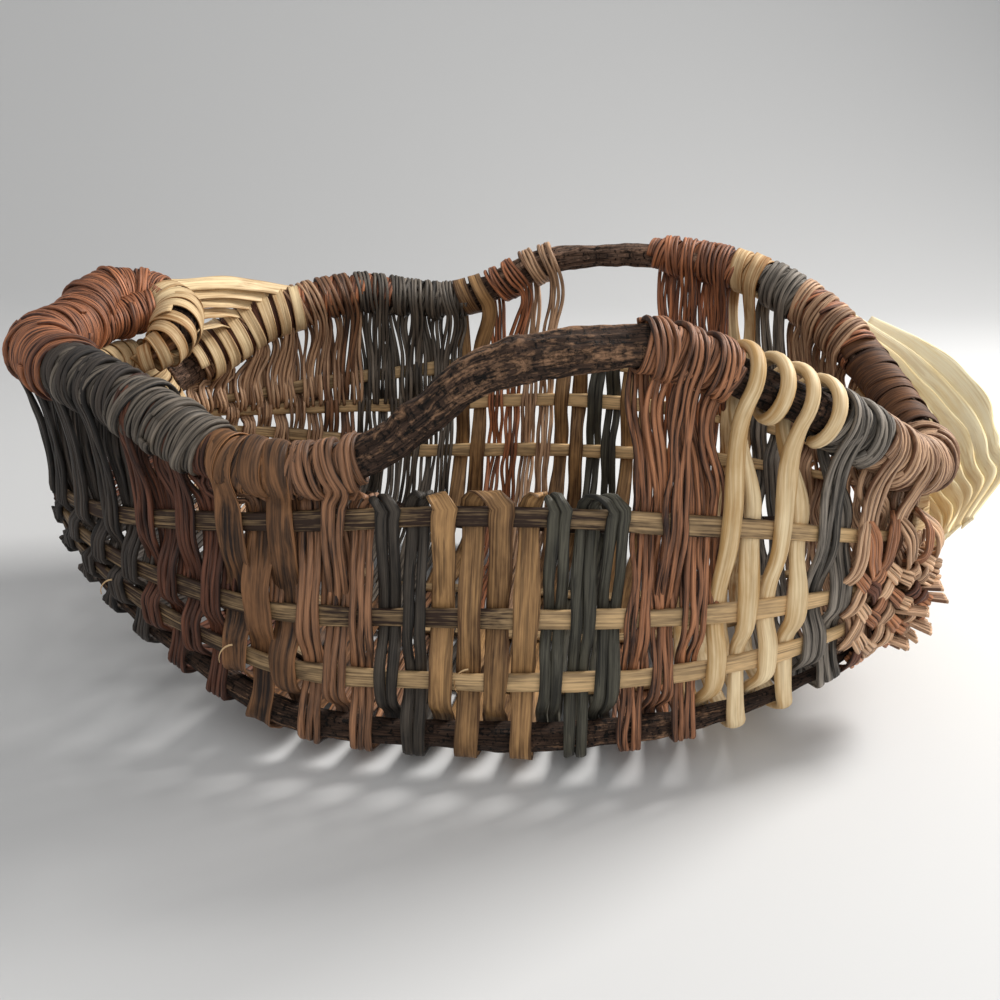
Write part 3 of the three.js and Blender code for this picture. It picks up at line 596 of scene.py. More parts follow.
def bark_group():
    """Ridged bark: noise stretched along the branch, cross cracks, and pale flecks where it is rubbed."""
    group, given, uv, tone = finish_group("ridged_bark", {
        "Dark": (0.02, 0.014, 0.01, 1), "Mid": (0.09, 0.06, 0.045, 1), "Rubbed": (0.35, 0.24, 0.16, 1),
        "Wear": 0.5})

    def stretched(scale, detail):
        place = joined(group, "ShaderNodeMapping", {"Vector": uv, "Scale": scale}).outputs[0]
        return noise(group, place, detail, 0.65)

    ridges = stretched((70, 700, 1), 5.0)
    cracks = stretched((420, 240, 1), 4.0)
    flecks = stretched((190, 520, 1), 4.0)
    worn = stretched((40, 60, 1), 3.0)
    base = mixed(group, ranged(group, ridges, 0.36, 0.62), given["Dark"], given["Mid"])
    crack = ranged(group, cracks, 0.46, 0.38)
    split = mixed(group, crack, base, given["Dark"])
    rubbed = reckoned(group, "MULTIPLY_ADD", tone, 0.35, flecks)
    rubbed = reckoned(group, "MULTIPLY_ADD", worn, given["Wear"], rubbed)
    return put_out(group, Color=mixed(group, ranged(group, rubbed, 0.92, 1.12), split, given["Rubbed"]),
                   Roughness=ranged(group, rubbed, 0.6, 1.1, 0.95, 0.7),
                   Height=reckoned(group, "MULTIPLY_ADD", crack, -0.6, ridges))


FIBRES, BARK = fibre_group(), bark_group()


def finish_of(name, group, bump, depth, specular, **values):
    """A material of one group's colours, roughness and relief on a Principled shader."""
    material = bpy.data.materials.new(name)
    material.use_nodes = True
    tree = material.node_tree
    shader = tree.nodes["Principled BSDF"]
    shader.inputs["Specular IOR Level"].default_value = specular
    grain = joined(tree, "ShaderNodeGroup", node_tree=group)
    for label, value in values.items():
        value = colour(value) if isinstance(value, str) else value
        grain.inputs[label.replace("_", " ")].default_value = value
    relief = joined(tree, "ShaderNodeBump",
                    {"Height": grain.outputs["Height"], "Strength": bump, "Distance": depth})
    tree.links.new(grain.outputs["Color"], shader.inputs["Base Color"])
    tree.links.new(grain.outputs["Roughness"], shader.inputs["Roughness"])
    tree.links.new(relief.outputs[0], shader.inputs["Normal"])
    return material


def splint(name, dark, light, groove, fineness=1.0, depth=0.6, specular=0.35, bump=0.6):
    return finish_of(name, FIBRES, bump, 0.0008, specular, Dark=dark, Light=light, Groove=groove,
                     Fineness=fineness, Groove_depth=depth)


def bark(name, dark, mid, rubbed, wear, specular):
    return finish_of(name, BARK, 1.0, 0.0016, specular, Dark=dark, Mid=mid, Rubbed=rubbed, Wear=wear)


HONEY = splint("honey_splint", "4a301a", "c69a66", "3c2814", fineness=0.7, depth=0.5)
BARK_STRIP = splint("bark_strip", "1d1009", "9c6e48", "120904", fineness=0.5)
CREAM = splint("peeled_reed", "b8935f", "f6e2ba", "86643a", fineness=0.5, depth=0.25, bump=0.3)
NATURAL = splint("natural_splint", "96693a", "fbe4b6", "6c4d26", fineness=0.6, depth=0.4, bump=0.4)
# pale_backlit_splint is the fan's own cream, made lighter than the natural splint: painted light from behind
# the fan
PALE_AND_BACKLIT = splint("pale_backlit_splint", "ecd294", "fff5d2", "bf9c60", fineness=0.5, depth=0.3, bump=0.3)
FLAT_BROWN = splint("flat_brown_splint", "3a200f", "8a5c38", "1c0e07", fineness=0.7, depth=0.5)
RIB_WOOD = splint("rib_splint", "2c1b10", "dcb988", "1e120a", fineness=0.7, depth=0.4, bump=0.4)
BARK_BROWN = bark("rough_bark", "0e0a08", "4e3b30", "9c785c", 0.3, 0.25)
# lit_bark is a lighter copy of the rough bark: painted light on the back rim branch
BARK_LIT = bark("lit_bark", "241913", "7c6252", "b8937a", 0.35, 0.3)

# Styles of woven strips: the finish and the shape. Dyed vine comes in several strands side by side
FLAT = dict(strands=1, sides=16, thick=1.6, square=3.2, cup=0.06, share=1.0)
STYLES = {
    "bark": (BARK_STRIP, dict(strands=1, thick=1.4, sides=16, square=3.4, cup=0.12, share=1.25, loose=0.9,
                              tone=0.32, crevice=-0.5, patchy=0.16)),
    "honey": (HONEY, {**FLAT, "tone_spread": 0.28}),
    "cream": (CREAM, dict(strands=1, thick=5.2, sides=16, square=2.1, share=0.8, loose=0.15)),
    "natural": (NATURAL, FLAT),
}
for name, dark, light, groove, specular, strands, thick, loose in (
        ("charcoal", "14110f", "887c6e", "080605", 0.45, 4, 2.5, 0.5),
        # soot is a darker copy of charcoal: painted shade on the front of the curled end
        ("soot", "100c0a", "4c4138", "080605", 0.4, 4, 2.5, 0.5),
        ("russet", "36160a", "d48656", "1a0b06", 0.6, 4, 2.4, 0.6),
        # dark_russet is a darker copy of russet: painted shade on the front of the curled end, the curled ear
        # and the back rim's left end; it also gives dark strands among the stitches
        ("dark_russet", "22110b", "7a4a34", "120805", 0.35, 4, 2.4, 0.5),
        ("umber", "20110a", "b4805a", "120905", 0.5, 3, 2.5, 0.5),
        ("black", "15120f", "584f45", "0d0b09", 0.35, 2, 2.6, 0.4),
        ("bottle", "171612", "5c594c", "0e0d0b", 0.35, 2, 2.6, 0.4),
        ("rose", "2e170c", "cf8c60", "1c0d07", 0.5, 4, 2.4, 0.6),
        ("slate", "2c2925", "a89d90", "171412", 0.35, 3, 2.5, 0.4),
        ("mauve", "68452e", "efc49c", "2c1810", 0.5, 4, 2.4, 0.55)):
    finish = splint(name + "_vine", dark, light, groove, specular=specular)
    STYLES[name] = finish, dict(strands=strands, thick=thick, loose=loose)
FINISH = {name: finish for name, (finish, shape) in STYLES.items()}

# Ribs: dark up to the first place along X, natural from the second. The dark part is painted shade, partly
# also the ribs' own darker colour
RIB_SHADE_AND_TONE = [(30, 200), (-30, 160), (-150, 60), (0, 0), (-190, 140), (-190, 140), (-190, 140), (0, 0),
             (-420, 40), (-420, 40), (-420, 40)]
for r, name in enumerate(RIB_NAMES):
    heap = Heap(100 + r)
    if ROUND[r]:
        limb(heap, rows_of(KNOT_P[r], KNOT_N[r], KNOT_RADIUS), 28, 0.9, 0.8)
        heap.piece(name + "_bark", BARK_BROWN, [name])
    else:
        line = smooth_line(rows_of(KNOT_P[r], KNOT_N[r], KNOT_WIDTH), 4)
        # painted shade, with some of the rib's own colour: the tone rises from the first place along X to the
        # second
        dark, pale = RIB_SHADE_AND_TONE[r]
        tone = 0.05 + 0.9 * eased((line[:, 0] - dark) / (pale - dark))
        bundle(heap, line, 1, 3.0, sides=12, square=4, loose=0.12, tone=tone, tone_spread=0.05, share=1.0,
               crevice=0.1)
        heap.piece(name + "_splint", RIB_WOOD, [name])

# Rim branches
RIM_END = PLAN_LENGTH[-1] - 1
HOOK = np.array([[-236, 26, 183], [-233, 51, 187], [-215, 66, 183], [-196, 57, 176], [-190, 37, 169]], float)


def rim_rows(side, start, stop):
    """A rim branch above the shoulder between two distances along the plan: place, up and radius."""
    p, out, rise, radius = rim_frame(plan_angle(np.linspace(start, stop, 35)), side)
    return rows_of(p, rise, radius)


RIM_ROWS = {"front": np.concatenate([rim_rows("front", RIM_END, 1), rows_of(HOOK, UP, 12)]),
            "back": rim_rows("back", EAR_REACH[1] - 13, RIM_END)}
RIM_LINE = {side: smooth_line(rows, BARK_SPACING) for side, rows in RIM_ROWS.items()}
KNOTS = {"front": [(-4, 2.5, 9), (38, 2.0, 6)], "back": [(40, 0.7, 6), (62, 5.8, 5)]}  # x, angle, size
for side, rows in RIM_ROWS.items():
    line = RIM_LINE[side] if side == "back" else RIM_LINE[side][::-1]
    knots = [(np.interp(x, line[:, 0], line[:, 7]), angle, size) for x, angle, size in KNOTS[side]]
    heap = Heap(len(side))
    limb(heap, rows, 48, 1.5, 1.2, knots)
    name = f"{side}_rim_branch"
    # the back branch takes the lighter bark copy, painted light
    heap.piece(name + "_bark", BARK_BROWN if side == "front" else BARK_LIT, [name])

# Woven strips: the runs of styles along each rim, and the nodes that they stand for
RUNS = {
    # the front begins with the darker copies of charcoal and russet, painted shade on the front of the curled
    # end
    "front": [("soot", 8), ("dark_russet", 4), ("bark", 3), ("umber", 3), ("black", 2), ("honey", 4),
              ("bottle", 3), ("rose", 3), ("cream", 4), ("slate", 2), ("mauve", 4)],
    "back": [("mauve", 8), ("umber", 2), ("charcoal", 6), ("honey", 2), ("russet", 2), ("mauve", 2),
             ("honey", 2), ("bottle", 2), ("honey", 2), ("russet", 4), ("natural", 2), ("slate", 2),
             ("mauve", 4)],
}
SECTIONS = [("charcoal_weaver_left", 8), ("russet_weaver_left", 6), ("umber_weaver", 4),
            ("charcoal_weaver_middle", 2), ("honey_weaver", 4), ("bottle_weaver", 4), ("rose_weaver", 2),
            ("cream_weaver", 4), ("slate_weaver_right", 2), ("russet_weaver_right", 4)]
NODE_OF = [name for name, passes in SECTIONS for _ in range(passes)]
for side, runs in RUNS.items():
    numbered = [f"{name}_{k}" for k, (name, passes) in enumerate(runs) for _ in range(passes)]
    heaps = {name: Heap(0) for name in numbered}
    for style, j, rows in loops(side, numbered):
        material, shape = STYLES[style.rsplit("_", 1)[0]]
        heaps[style].rng = np.random.default_rng(1000 * len(side) + j)
        heaps[style].strip(rows, 3.0, **shape)
    for name, heap in heaps.items():
        nodes = sorted({NODE_OF[j] for j in range(STATIONS) if numbered[j] == name})
        heap.piece(f"{name}_{side}_strands", STYLES[name.rsplit("_", 1)[0]][0], nodes)


# Strips that fill the wall between the top rib and the rim
def leg(side, j):
    """Rows of a strip tucked in below the top rib between two stations, and up to the rim above."""
    r, near = (0, 1) if side == "front" else (10, 9)
    u = plan_angle(station_distance(side, j))
    t = RIB_T[r] + (RIB_T[near] - RIB_T[r]) * np.array([0.8, 0.4, 0.1])
    low = tub(u, t) - tub_normal(u, t) * np.array([[1.0], [3.0], [4.6]])
    p, out, rise, radius = (value[0] for value in rim_frame(np.array([u]), side))
    high = np.stack([tub(u, RIB_T[r]) + UP * 12 - out * 1.5, p - rise * (radius + 8), p - rise * radius])
    place = np.concatenate([low, high])
    place[:, 2] = np.maximum.accumulate(place[:, 2])
    return rows_of(place, out, 7.5)


# the legs at the front's curled end take the darker copies of charcoal and russet, painted shade
for side, style, first, last in (
        ("front", "soot", -1, 8), ("front", "dark_russet", 8, 12), ("front", "umber", 12, 17),
        ("back", "mauve", -1, 10), ("back", "charcoal", 10, 16), ("front", "rose", 27, 30),
        ("front", "mauve", 36, 41), ("back", "russet", 28, 32), ("back", "mauve", 36, 41)):
    heap = Heap(first * 3 + len(side) + 3)
    material, shape = STYLES[style]
    for j in np.arange(first, last) + 0.5:
        heap.strip(leg(side, j + heap.rng.uniform(-0.12, 0.12)), 3.0, **{**shape, "strands": 3})
    heap.piece(f"{style}_{side}_legs_{last}", material, [], slot=NODE_OF[min(last, STATIONS) - 1])


# Wraps wound on the rim branches
def rim_place(side, j):
    """Distance along a rim branch's line of the place above station j."""
    at = rim_frame(plan_angle(station_distance(side, j)), side)[0]
    line = RIM_LINE[side]
    return line[np.argmin(np.linalg.norm(line[:, :3] - at, axis=1)), 7]


TURN_STEPS = 22


def wound(line, start, stop, pitch, lift, width, phase=0.0):
    """Rows of a strip wound round a line of place, up and radius, between two distances along it."""
    turns = abs(stop - start) / pitch
    f = np.linspace(0, 1, int(turns * TURN_STEPS) + 2)
    s = start + (stop - start) * f
    columns = np.stack([np.interp(s, line[:, 7], line[:, k]) for k in range(7)], -1)
    centre, up, radius = columns[:, :3], columns[:, 3:6], columns[:, 6:7]
    tangent = unit(np.gradient(centre, axis=0))
    up = unit(up - tangent * dot(up, tangent))
    turn = (phase + 2 * np.pi * turns * f)[:, None]
    radial = np.cross(tangent, up) * np.cos(turn) + up * np.sin(turn)
    reach = radius + lift + 0.35 * np.sin(3.1 * turn + phase)
    return rows_of(centre + radial * reach, radial, width)


def dense_wraps(name, node, material, line, start, stop, pitch=9.6, lift=1.0, over=3, replace=False, **shape):
    """A close layer of wraps and a few looser ones over it at a steeper pitch."""
    heap = Heap(int(abs(start) * 7) % 1000 + 11)
    style = {**dict(strands=5, thick=2.0, loose=0.45, share=1.08), **shape}
    heap.strip(wound(line, start, stop, pitch, lift, pitch * 1.02), 2.6, **style)
    style["strands"] //= 2
    for k in range(over):
        a, b = start + (stop - start) * (np.array([k, k + 1]) + heap.rng.uniform(-0.1, 0.1, 2)) / over
        a, b = np.clip([a, b], min(start, stop), max(start, stop))
        rows = wound(line, a, b, pitch * 1.9, lift + 1.7, pitch * 0.55, phase=heap.rng.uniform(0, 6))
        heap.strip(rows, 2.6, **style)
    heap.piece(name, material, [node] if replace else [], slot=node)


def flat_wraps(name, node, material, line, start, stop, pitch, width, lift=2.2, replace=False, **shape):
    """Wide flat splints wound with dark gaps between them, each turn a little askew."""
    heap = Heap(int(abs(start) * 5) % 1000 + 3)
    style = {**dict(thick=1.3, sides=16, square=3.4, cup=0.05, loose=1.0, wave=70), **shape}
    heap.strip(wound(line, start, stop, pitch, lift, width), 2.6, 1, **style)
    heap.piece(name, material, [node] if replace else [], slot=node)


# The hook: its roll, its end, the tail that curls on past it and the throat between them
front, back = RIM_LINE["front"], RIM_LINE["back"]
HOOK_END = front[-1, 7] - 4
TAN_START = HOOK_END - 30
tail_places = np.array([HOOK[-1], [-191, 28, 163.5], [-197, 21, 158], [-205, 18, 154]])
tail = smooth_line(rows_of(tail_places, UP, [13.4, 11.8, 8.4, 4.4]), 1.0)
throat_places = np.array([[-233, 16, 172], [-222, 34, 176], [-214, 50, 178], [-206, 58, 176]], float)
throat = smooth_line(rows_of(throat_places, UP, [8, 9, 9.5, 8]), 1.5)
ROLL, END = "russet_roll_binding", "tan_roll_binding"
dense_wraps("hook_roll_strands", ROLL, FINISH["russet"], front, rim_place("front", -1.2), TAN_START, lift=2.8,
            strands=7, thick=1.8, over=6, replace=True)
flat_wraps("hook_end_splints", END, NATURAL, front, TAN_START, HOOK_END + 4, 8.0, 8.6, lift=2.6, replace=True,
           loose=0.6)
flat_wraps("hook_tail_splints", END, NATURAL, tail, 0, tail[-1, 7], 7.4, 8.2, lift=0.6, replace=True,
           loose=0.5)
heap = Heap(5)
core = tail[4:].copy()
core[:, 6] = np.clip(core[:, 6] * 1.5, 5, 17)
bundle(heap, core, 1, 5.0, sides=16, square=2.0, loose=0.1, tone=0.9)
heap.piece("hook_tail_core", FLAT_BROWN, [], slot=END)
dense_wraps("hook_throat_strands", ROLL, FINISH["russet"], throat, 0, throat[-1, 7], pitch=8.4, over=2)

def rim_wraps(side, table):
    """Wraps on a rim from one station to another, by rows of kind, name, style, stations and shape. The
    node is that of the middle between them, unless the shape gives it."""
    for wraps, name, style, first, last, shape in table:
        start, stop = rim_place(side, first), rim_place(side, last)
        shape = {"node": NODE_OF[int((first + last) / 2)], **shape}
        wraps(name, material=FINISH[style], line=RIM_LINE[side], start=start, stop=stop, **shape)


rim_wraps("front", (
    (dense_wraps, "russet_rim_wraps", "russet", 3.8, -1.2, dict(lift=3.2, strands=6, over=4)),
    (dense_wraps, "charcoal_rim_wraps", "charcoal", 7.4, 3.8, {}),
    (dense_wraps, "charcoal_rim_overwraps", "charcoal", 11.3, 7.4,
     dict(lift=3.3, over=2, node="charcoal_weaver_left")),
    (flat_wraps, "bark_strip_wraps", "bark", 14.2, 11.3,
     dict(pitch=13.0, width=13.0, tone=0.28, crevice=-0.6, patchy=0.2, cup=0.12)),
    (dense_wraps, "umber_rim_wraps", "umber", 17.2, 14.2, {}),
    (dense_wraps, "rose_rim_wraps", "rose", 29.6, 26.7, dict(over=4)),
    (dense_wraps, "slate_rim_wraps", "slate", 35.8, 33.6, {}),
    (dense_wraps, "mauve_rim_wraps", "mauve", 39.5, 35.8, {})))
dense_wraps("front_tip_wraps", "front_tip_binding", FINISH["mauve"], front, 3, rim_place("front", 39.5),
            replace=True)
# a ground of the darker russet copy under the natural wraps: painted shade, seen in the gaps between them
rim_wraps("back", [(dense_wraps, "back_dark_ground", "dark_russet", 0.1, 6.3, dict(lift=2.6, over=0))])
flat_wraps("back_natural_wraps", "charcoal_weaver_left", NATURAL, back, rim_place("back", -0.2) + 2,
           rim_place("back", 6.3), 11.0, 7.2, lift=4.6, loose=0.35, cup=0.08)
rim_wraps("back", (
    (dense_wraps, "back_russet_wraps", "russet", 6.3, 11.8, {}),
    (dense_wraps, "back_charcoal_wraps", "charcoal", 11.8, 16.2, {}),
    (dense_wraps, "back_brown_wraps", "russet", 27.2, 32.2, {}),
    (flat_wraps, "back_pale_wraps", "natural", 32.2, 33.8, dict(pitch=9.5, width=10)),
    (dense_wraps, "back_slate_wraps", "slate", 33.8, 36, {}),
    (dense_wraps, "back_mauve_wraps", "russet", 36, 39.8, {})))
flat_wraps("back_tip_wraps", "back_tip_binding", FLAT_BROWN, back, rim_place("back", 39.8), back[-1, 7] - 3,
           13, 12, lift=1.2, replace=True)


# Ears
def ear_frame(end, distance):
    """Shoulder above an ear at signed distances from its tip, front negative, and the way out."""
    near = plan_angle(np.abs(distance))
    u = near if end == "curled" else np.pi - near
    mirror = np.where(distance < 0, -1.0, 1.0)
    x, y = plan(u)
    out = plan_outward(u, 1)
    out[:, 1] *= mirror
    return u, x, y * mirror, out


def under_rim(u, side):
    """Height just under the strips wound on a rim."""
    p, out, rise, radius = rim_frame(u, side)
    return p[:, 2] - (radius + 2.8) / np.cos(np.pi / 8) / rise[:, 2] - 1


BEHIND_HOOK, HIDDEN_HEIGHT = (45, 76), 116  # where the curled ear's wall drops, and to what height


def wall_top(end, distance):
    """Height of an ear's wall, which drops behind the hook at the curled end."""
    u = ear_frame(end, distance)[0]
    if end == "flared":
        return np.where(distance < 0, under_rim(u, "front"), under_rim(u, "back"))
    top = under_rim(u, "front")
    first, last = BEHIND_HOOK
    return top + (HIDDEN_HEIGHT - top) * np.maximum((distance - first) / (last - first), 0)


def ear_wall(heap, end, count):
    """Splints round an ear's wall, one above the other, each in front of and behind its stakes."""
    distance = np.linspace(-EAR_REACH[0] + 2, EAR_REACH[1] - 2, 64)
    u, x, y, out = ear_frame(end, distance)
    foot, top = shoulder_at(x) - 3, wall_top(end, distance)
    for k in range(count):
        z = foot + (top - foot) * (k + 0.5) / count
        sway = 1.4 * np.sin(np.pi * distance / STAKE_SPACING + np.pi * k)
        width = np.maximum(np.abs(top - foot) / count * 1.08, 3)
        rows = rows_of(np.stack([x, y, z], -1) + out * sway[:, None], out, width)
        heap.strip(rows, 3, 1, 1.4, sides=12, square=3.6, cup=0.04, loose=0.4)
    for d in np.arange(-EAR_REACH[0] + 8, EAR_REACH[1] - 6, STAKE_SPACING):
        k = np.argmin(np.abs(distance - d))
        z = np.linspace(foot[k], top[k], 6)
        rows = rows_of(np.stack([np.full(6, x[k]), np.full(6, y[k]), z], -1), out[k], 5.0)
        if top[k] - foot[k] > 8:
            heap.strip(rows, 4, 1, 1.4, sides=10, square=3.6, loose=0.2)


def ear_cap(heap, end, count):
    """Strips across the gathered rib ends, each over and under them by turns, and those rib ends."""
    def at(q, t):
        return ear_edge(t) * q if end == "curled" else np.pi - ear_edge(t) * q

    order = np.linspace(0, 10, 81)
    t = np.interp(order, RIBS, RIB_T)
    for k in range(count):
        u = at((k + 0.8) / count, t)
        p, n = tub(u, t), tub_normal(u, t)
        step = np.linalg.norm(p - tub(at((k + 0.1) / count, t), t), axis=1) / 0.7
        place = p + n * (1.9 * np.cos(np.pi * (order + k)))[:, None]
        heap.strip(rows_of(place, n, np.clip(step * 0.96, 2, 11)), 3, 4, 1.9)
    for t in RIB_T[1:-1]:
        q = np.linspace(1.0, 0.12, 12)
        u = at(q, t)
        rows = rows_of(tub(u, t), tub_normal(u, t), 1.5 + 2.5 * q)
        heap.strip(rows, 4, 1, 1.8, loose=0.1)


# the curled ear's cap takes the darker russet copy: painted shade
for end, wall, cap, count in (("curled", FINISH["charcoal"], FINISH["dark_russet"], 6),
                              ("flared", NATURAL, FINISH["mauve"], 3)):
    heap = Heap(60 + count)
    ear_wall(heap, end, count)
    heap.piece(f"{end}_ear_wall_splints", wall, [f"{end}_ear"])
    heap = Heap(heap.rng)
    ear_cap(heap, end, 10)
    heap.piece(f"{end}_ear_cap_strands", cap, [f"{end}_ear"])

# Natural lashings along the upper edge of the curled ear's wall, from under the hook to the back branch
distance = np.linspace(-16, 92, 50)
u, x, y, out = ear_frame("curled", distance)
z = np.minimum(wall_top("curled", distance), 154) - 2
edge = smooth_line(rows_of(np.stack([x, y, z], -1) - out * 6, UP, 7.0), 1.5)
flat_wraps("curled_ear_lashings", "curled_ear", NATURAL, edge, 2, edge[-1, 7] - 2, 10.0, 8.2, lift=2.6,
           loose=0.5, cup=0.08)

# Flat splints from behind the hook to the back rim branch, one above the other
heap = Heap(66)
for k in range(5):
    start = np.array([-212 + 5 * k, 72 - 2 * k, 189 - 6.5 * k])
    target = rim_place("back", 6.2 - 0.9 * k)
    stop = np.array([np.interp(target, back[:, 7], back[:, n]) for n in range(3)]) + [0, -3, 10 - 1.5 * k]
    f = np.linspace(0, 1, 8)[:, None]
    place = start + (stop - start) * f + UP * 4 * np.sin(np.pi * f)
    rows = rows_of(place, [-0.15, -0.8, 0.55], 11.5 - 4.5 * f)
    heap.strip(rows, 3, 1, 1.3, sides=14, square=3.6, cup=0.04, loose=0.5, tone=0.75)
heap.piece("hook_bridge_splints", NATURAL, [], slot="curled_ear")


# Fan of natural splints outside the flared end
def fan_place(share, distance):
    """The fan's surface: from its foot (share 0) to its lip (1). It spreads outwards with its height,
    climbs along the back rim and gathers at its front end."""
    u, x, y, out = ear_frame("flared", distance)
    rim = rim_height["back"](x)
    top = 124 + (rim + 6 - 124) * eased((distance - 6) / 66)
    foot = 80 + (rim - 26 - 80) * eased((distance - 50) / 60)
    z = foot + (top - foot) * share
    gather = eased((-distance - 10) / 38)
    z = z + (92 - z) * 0.6 * gather
    swell = (34 + 12 * np.sin(np.pi * np.clip(distance / 105, 0, 1)) ** 2) * (1 - 0.5 * gather)
    offset = 4.9 + swell * share ** 1.3 * (1 - 0.45 * eased((distance - 85) / 35))
    offset = np.maximum(offset, np.where(distance > 60, 14.5 * eased((distance - 60) / 40), 0))
    return np.stack([x, y, z], -1) + out * offset[:, None]


heap = Heap(71)
FAN_ROWS = 8
for k in range(FAN_ROWS):
    share = (k + 0.45) / FAN_ROWS
    distance = np.linspace(-46 - heap.rng.uniform(0, 6), 112 + heap.rng.uniform(-8, 8), 80)
    place = fan_place(share, distance)
    slope = fan_place(share + 0.02, distance) - fan_place(share - 0.02, distance)
    facing = unit(np.cross(slope, np.gradient(place, axis=0)))
    facing = facing * np.sign(np.sum(facing * (place - [150, 0, 120]), axis=1, keepdims=True))
    width = np.clip(np.linalg.norm(slope, axis=1) / 0.04 / FAN_ROWS * 1.6, 8, 17)
    facing = unit(facing + 0.22 * unit(slope))
    place = place + facing * 0.9
    rows = rows_of(place, facing, width)
    # painted light: the tone is set high so the fan renders lighter; painted shade darkens each splint's
    # edges
    heap.strip(rows, 3, 1, 1.3, sides=16, square=3.6, cup=0.05, loose=0.7, wave=110,
           tone=1.0, crevice=0.5)
heap.piece("flared_fan_splints", PALE_AND_BACKLIT, ["flared_fan"])


# Stitches that lean to and fro over the wall near the flared ear
def stitch(side, order, station, lean):
    """Rows of a short strip that leans along the wall while it rises from rib to rib, its ends sunk in
    the weave. Order counts ribs down from the top one, less than 0 above it."""
    f = np.linspace(-1, 1, 7)
    down = order + 0.42 * f
    u = plan_angle(station_distance(side, station + 0.45 * lean * f))
    t = np.interp(np.maximum(down, 0), RIBS, RIB_T if side == "front" else RIB_T[::-1])
    n = tub_normal(u, t)
    arch = (1 - f ** 2)[:, None]
    bow = 3.8 + 8 * np.clip((station - 37) / 3, 0, 1)
    place = tub(u, t) + n * (1.6 + bow * arch) + UP * (30 * np.maximum(-down, 0))[:, None]
    return rows_of(place, n, 5.2 + 2.4 * arch)


for side, last_row in (("front", 3.3), ("back", 2.6)):
    rng = np.random.default_rng(50 + len(side))
    heaps = [Heap(rng), Heap(rng), Heap(rng)]
    for row, order in enumerate(np.arange(0.05, last_row, 0.46)):
        for k, station in enumerate(np.arange(35.4 + 0.12 * order + 0.4 * (row % 2), 40.4, 0.95)):
            lean = 1 if (k + row) % 2 else -1
            rows = stitch(side, order + rng.uniform(-0.06, 0.06), station + rng.uniform(-0.1, 0.1), lean)
            kind = rng.choice(3, p=(0.5, 0.3, 0.2))
            heaps[kind].strip(rows, 2.0, 3, 2.0, tone=rng.uniform(0.6, 1.0))
    for heap, material in zip(heaps, (FINISH["mauve"], FINISH["rose"], FINISH["dark_russet"])):
        heap.piece(f"{material.name}_{side}_stitches", material, [], slot="russet_weaver_right")

# Cut ends of strips beside the flared ear, in small tufts
heap = Heap(83)
for t, along in ((-1.42, 4), (-1.3, 16), (-1.2, -2), (-1.05, 8), (-0.9, 20), (-0.8, 2), (-0.6, 12),
                 (-0.66, -4), (-0.48, 4), (-0.4, 16), (-0.3, 8)):
    u = np.pi - ear_edge(t, along)
    p, n = tub(u, t), tub_normal(u, t)
    out, fall = heap.rng.uniform(0.8, 1.1), heap.rng.uniform(0, 0.4)
    way = unit(unit(tub(u + 0.02, t) - p) * 0.5 + n * out - UP * fall)
    f = np.linspace(0, 1, 6)[:, None]
    place = p + n * 2 + way * heap.rng.uniform(14, 19) * f
    facing = unit(np.cross(way, unit(np.cross(n, UP))))
    line = smooth_line(rows_of(place, facing, 7.5 + 2.5 * f), 1.5)
    tone = 0.5 + 0.8 * (np.arange(len(line)) > len(line) - 2)
    bundle(heap, line, 4, 2.1, loose=0.3, tone=tone)
heap.piece("cut_strip_ends", FINISH["mauve"], [], slot="russet_weaver_right")

# Thin slivers that have sprung from the splints
heap = Heap(97)
for j, rib, length in ((12, 2, 16), (21, 2, 18), (6, 2, 12), (30, 3, 10)):
    row = CROSSINGS[rib, j, 0]
    f = np.linspace(0, 1, 14)[:, None]
    curl = heap.rng.uniform(1.2, 2.4) * heap.rng.choice([-1, 1])
    ring = length / 3 * np.concatenate([np.sin(curl * f), 0 * f, np.cos(curl * f) - 1], 1)
    out = tub_normal(KNOT_U[rib, j // 2], RIB_T[rib])
    rows = rows_of(row[:3] + out * (2 + 3 * f) + ring, out, 1.0 - 0.7 * f)
    heap.strip(rows, 1.5, 1, 0.4, loose=0.1, tone=0.5, crevice=0.1)
heap.piece("loose_slivers", NATURAL, [], slot="honey_weaver")


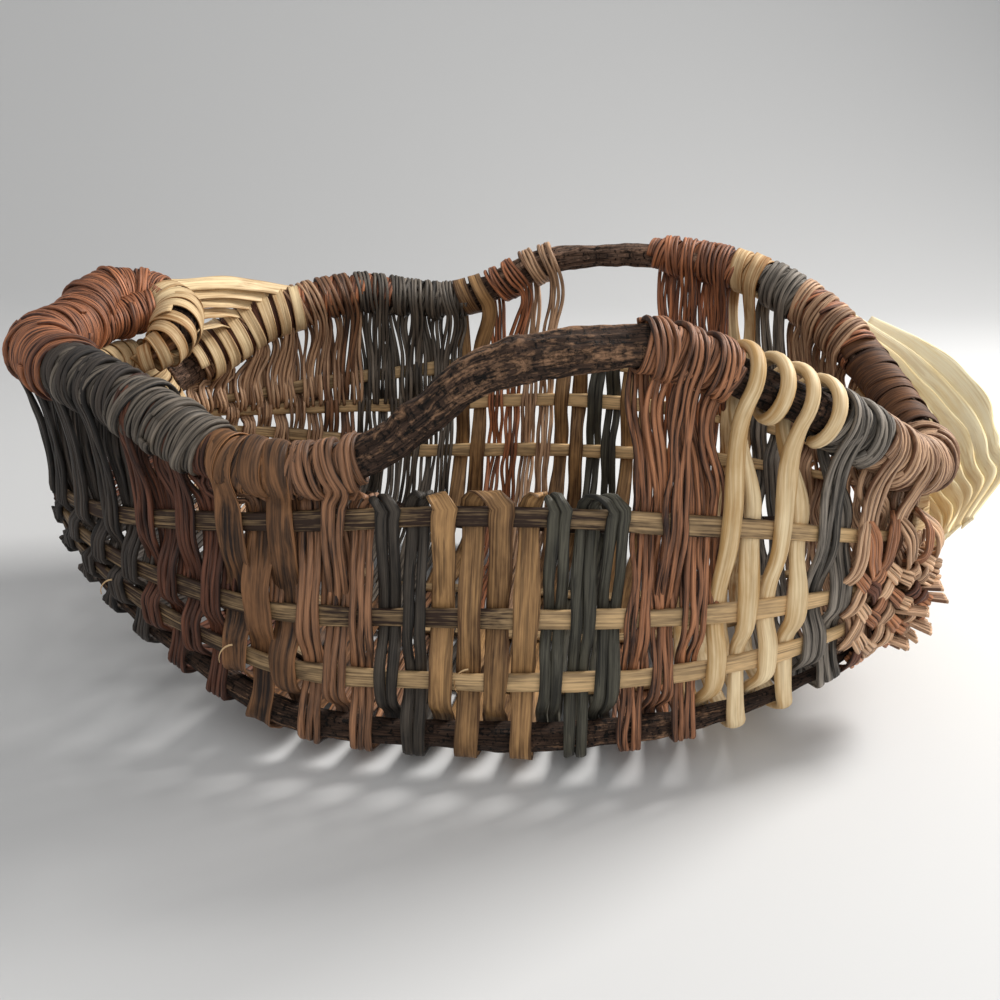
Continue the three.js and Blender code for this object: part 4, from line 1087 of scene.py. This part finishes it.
# Stage, light and camera
def sweep(near=-6.0, bend=1.15, radius=0.9, height=4.5, half_width=9.0):
    """A floor that turns up into a backdrop by a quarter circle, as one grid carried along X."""
    turn = np.linspace(0, QUARTER, 25)
    y = np.concatenate([[near], bend + radius * np.sin(turn), [bend + radius]])
    z = np.concatenate([[0], radius * (1 - np.cos(turn)), [height]])
    x = np.linspace(-half_width, half_width, 5)
    place = np.stack(np.broadcast_arrays(x[:, None], y[None], z[None]), -1)
    index = np.arange(place[..., 0].size).reshape(place.shape[:2])
    faces = np.stack([index[:-1, :-1], index[1:, :-1], index[1:, 1:], index[:-1, 1:]], -1).reshape(-1, 4)
    cloth = bpy.data.materials.new("pale_cloth")
    cloth.use_nodes = True
    shader = cloth.node_tree.nodes["Principled BSDF"]
    shader.inputs["Base Color"].default_value = (0.66, 0.67, 0.68, 1)
    shader.inputs["Roughness"].default_value = 0.9
    quad_object("pale_floor", place.reshape(-1, 3), faces, cloth)


sweep()

world = bpy.data.worlds.new("studio")
bpy.context.scene.world = world
world.use_nodes = True
sky = world.node_tree
air = sky.nodes["Background"]
air.inputs[0].default_value = (1.0, 0.985, 0.965, 1)
air.inputs[1].default_value = 0.55
seen = joined(sky, "ShaderNodeBackground", {0: (0.84, 0.84, 0.84, 1), 1: 1.0})
path = joined(sky, "ShaderNodeLightPath").outputs
direct = reckoned(sky, "MAXIMUM", path["Is Camera Ray"], path["Is Glossy Ray"])
direct = reckoned(sky, "MAXIMUM", direct, path["Is Transmission Ray"])
pick = joined(sky, "ShaderNodeMixShader", {0: direct, 1: air.outputs[0], 2: seen.outputs[0]})
sky.links.new(pick.outputs[0], sky.nodes["World Output"].inputs[0])


def lamp(name, place, target, size, energy, tint):
    light = bpy.data.lights.new(name, "AREA")
    light.size, light.energy, light.color = size, energy, tint
    obj = bpy.data.objects.new(name, light)
    obj.location = place
    aim = np.array(target) - np.array(place)
    obj.rotation_euler = Vector(aim).to_track_quat("-Z", "Y").to_euler()
    bpy.context.scene.collection.objects.link(obj)


lamp("window_lamp", (0.95, 0.5, 1.0), (0, 0, 0.08), 0.45, 23, (1.0, 0.97, 0.93))
lamp("front_lamp", (0.5, -1.3, 0.9), (0, 0, 0.08), 1.2, 5.5, (1.0, 0.99, 0.97))

camera_data = bpy.data.cameras.new("camera")
camera_data.lens, camera_data.sensor_width = 43.5, 36
camera = bpy.data.objects.new("camera", camera_data)
camera.location = (0.0942, -0.6356, 0.300)
camera.rotation_euler = (np.radians(90 - 18.5), 0, np.radians(8))
bpy.context.scene.collection.objects.link(camera)
bpy.context.scene.camera = camera
bpy.context.scene.view_settings.view_transform = "Standard"
